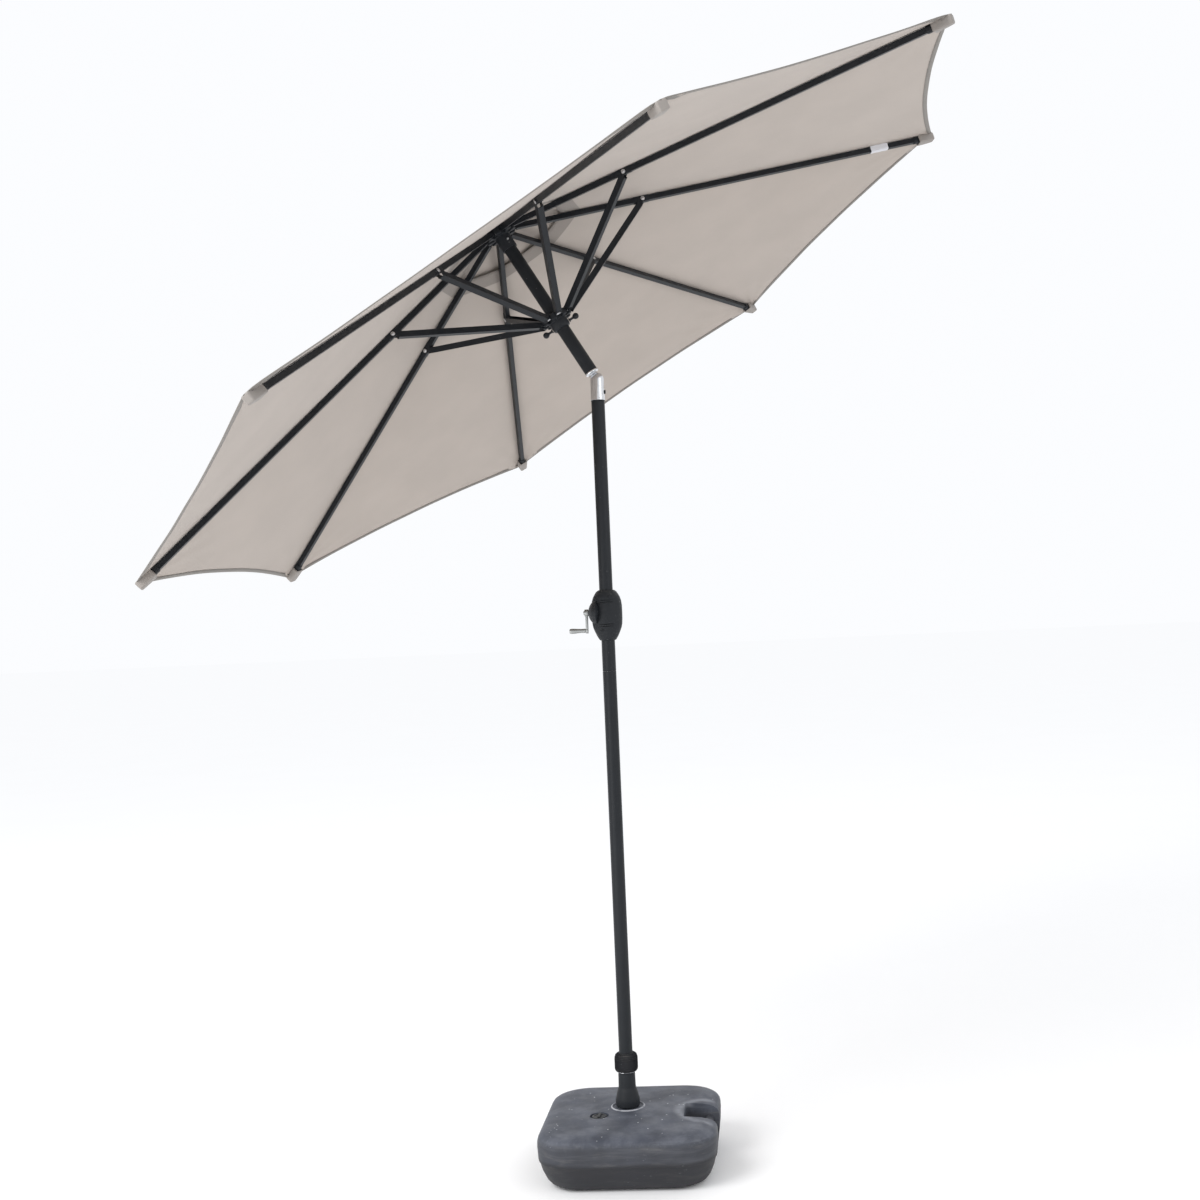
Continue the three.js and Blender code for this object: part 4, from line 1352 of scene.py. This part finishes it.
class UMBRELLA_OT_socket_and_nut(bpy.types.Operator):
    """Turn the socket that stands in the tank, and knurl its clamp nut"""

    bl_idname = "umbrella.socket_and_nut"
    bl_label = "Socket and nut"

    def execute(self, context):
        black = black_moulding()
        t = TANK_TOP
        socket = turned("socket_moulding", [
            (0.0, 0.006), (0.0240, 0.006), (0.0240, t + 0.0020), (0.0310, t + 0.0020), (0.0330, t + 0.0040),
            (0.0335, t + 0.0110), (0.0335, t + 0.0180), (0.0328, t + 0.0240), (0.0310, t + 0.0300),
            (0.0288, t + 0.0400), (0.0262, t + 0.0480), (0.0246, t + 0.0530), (0.0240, t + 0.0560),
            (0.0234, t + 0.0900), (0.0218, t + 0.0960), (0.0217, NUT_LOW + 0.004), (0.0217, NUT_HIGH - 0.016),
            (0.0195, NUT_HIGH - 0.016), (0.0195, 0.012), (0.0, 0.012),
        ])
        dressed(socket, black, "base", ["base_socket"])
        nut = turned("clamp_nut_moulding", [
            (0.0223, NUT_LOW), (0.0282, NUT_LOW), (0.0300, NUT_LOW + 0.0012), (0.0318, NUT_LOW + 0.0050),
            (0.0324, NUT_LOW + 0.0080), (0.0325, NUT_HIGH - 0.0150), (0.0320, NUT_HIGH - 0.0110),
            (0.0300, NUT_HIGH - 0.0050), (0.0262, NUT_HIGH - 0.0016), (0.0230, NUT_HIGH), (0.0195, NUT_HIGH),
            (0.0195, NUT_HIGH - 0.015), (0.0223, NUT_HIGH - 0.015), (0.0223, NUT_LOW),
        ], NUT_STEPS)
        only(nut)
        for polygon in nut.data.polygons:
            x, y, z = polygon.center
            turn = int(round((math.atan2(y, x) % math.tau) / math.tau * NUT_STEPS - 0.5))
            polygon.select = math.hypot(x, y) > 0.0322 and abs(z - 0.272) < 0.02 and turn % 3 == 0
        bpy.ops.object.mode_set(mode="EDIT")
        bpy.ops.mesh.select_mode(type="FACE")
        bpy.ops.mesh.inset(thickness=0.0004, depth=-0.0016, use_individual=True)
        bpy.ops.object.mode_set(mode="OBJECT")
        dusty = material_named(
            "nut_moulding", grained, (0.030, 0.031, 0.035), 0.55, 1500.0, dust=0.45, specks=0.2
        )
        dressed(nut, dusty, "nut", ["clamp_nut"])
        ring = turned("nut_spring_ring", [
            (0.0236, NUT_LOW - 0.0016), (0.0275, NUT_LOW - 0.0016), (0.0279, NUT_LOW - 0.0009),
            (0.0275, NUT_LOW - 0.0002), (0.0236, NUT_LOW - 0.0002), (0.0236, NUT_LOW - 0.0016),
        ], 48)
        dressed(ring, bright_chrome(), "nut")
        return {"FINISHED"}


# ---- Stage ----
class UMBRELLA_OT_stage(bpy.types.Operator):
    """Lay the floor, light it softly and place the camera"""

    bl_idname = "umbrella.stage"
    bl_label = "Stage"

    def execute(self, context):
        s = context.scene.umbrella_stage
        fresh()
        bpy.ops.mesh.primitive_plane_add(size=160, location=(0, 0, -0.0005))
        floor = named(bpy.context.object, "floor")
        paper, tree, shader, at = new_material("pale_floor")
        shade = toned(tree, noise_at(tree, at, 1.5), s.floor, 0.985, 1.0)
        feed(tree, shader, Base_Color=shade, Roughness=0.95, Specular_IOR_Level=0.0)
        floor.data.materials.append(paper)
        world = bpy.data.worlds.new("studio")
        world.use_nodes = True
        sky = world.node_tree.nodes["Background"]
        feed(world.node_tree, sky, Color=solid_colour(s.sky), Strength=1.0)
        context.scene.world = world
        for name, at, power, spread in (
            ("key", (-3.6, -3.4, 4.6), s.key, 3.0),
            ("fill", (4.2, -3.0, 2.6), s.key * 0.12, 3.0),
            ("low", (-2.4, -3.2, 0.7), s.key * 0.16, 2.5),
        ):
            lamp = bpy.data.lights.new(name, "AREA")
            lamp.energy = power
            lamp.size = spread
            obj = bpy.data.objects.new(name, lamp)
            obj.location = at
            towards = Vector((0, 0, 1.4)) - Vector(at)
            obj.rotation_euler = towards.to_track_quat("-Z", "Y").to_euler()
            context.scene.collection.objects.link(obj)
        data = bpy.data.cameras.new("camera")
        data.sensor_width = 36
        data.lens = 44.498
        data.shift_x, data.shift_y = -0.0616, -0.0406
        data.clip_end = 200
        camera = bpy.data.objects.new("camera", data)
        turn = (
            Matrix.Rotation(math.radians(3.49), 4, "Z")
            @ Matrix.Rotation(math.radians(2.57), 4, "X")
            @ Matrix.Rotation(math.radians(2.57), 4, "Y")
            @ Matrix.Rotation(math.pi / 2, 4, "X")
        )
        camera.matrix_world = Matrix.Translation((0.4507, -4.1656, 1.500)) @ turn
        context.scene.collection.objects.link(camera)
        context.scene.camera = camera
        context.scene.view_settings.view_transform = "Standard"
        return {"FINISHED"}


# ---- Panel and registration ----
STEPS = (
    UMBRELLA_OT_stage,
    UMBRELLA_OT_base_tank,
    UMBRELLA_OT_socket_and_nut,
    UMBRELLA_OT_poles,
    UMBRELLA_OT_crank,
    UMBRELLA_OT_tilt_knuckle,
    UMBRELLA_OT_hub_and_runner,
    UMBRELLA_OT_ribs_and_struts,
    UMBRELLA_OT_canopy_cloth,
    UMBRELLA_OT_vent_cap,
    UMBRELLA_OT_corner_pockets,
)
SETTINGS = {
    "umbrella_cloth": ClothSettings,
    "umbrella_metal": MetalSettings,
    "umbrella_base": BaseSettings,
    "umbrella_stage": StageSettings,
}


class UMBRELLA_PT_build(bpy.types.Panel):
    """The umbrella's settings, and its build steps in order"""

    bl_label = "Patio Umbrella"
    bl_idname = "UMBRELLA_PT_build"
    bl_space_type = "VIEW_3D"
    bl_region_type = "UI"
    bl_category = "Umbrella"

    def draw(self, context):
        for key, kind in SETTINGS.items():
            part = self.layout.box()
            for label in kind.__annotations__:
                part.prop(getattr(context.scene, key), label)
        for step in STEPS:
            self.layout.operator(step.bl_idname)


def register():
    for kind in (*SETTINGS.values(), *STEPS, UMBRELLA_PT_build):
        bpy.utils.register_class(kind)
    for key, kind in SETTINGS.items():
        setattr(bpy.types.Scene, key, bpy.props.PointerProperty(type=kind))


def unregister():
    for key in SETTINGS:
        delattr(bpy.types.Scene, key)
    for kind in (UMBRELLA_PT_build, *reversed(STEPS), *SETTINGS.values()):
        bpy.utils.unregister_class(kind)


def main():
    register()
    for step in STEPS:
        group_name, call = step.bl_idname.split(".")
        getattr(getattr(bpy.ops, group_name), call)()


if __name__ == "__main__":
    main()
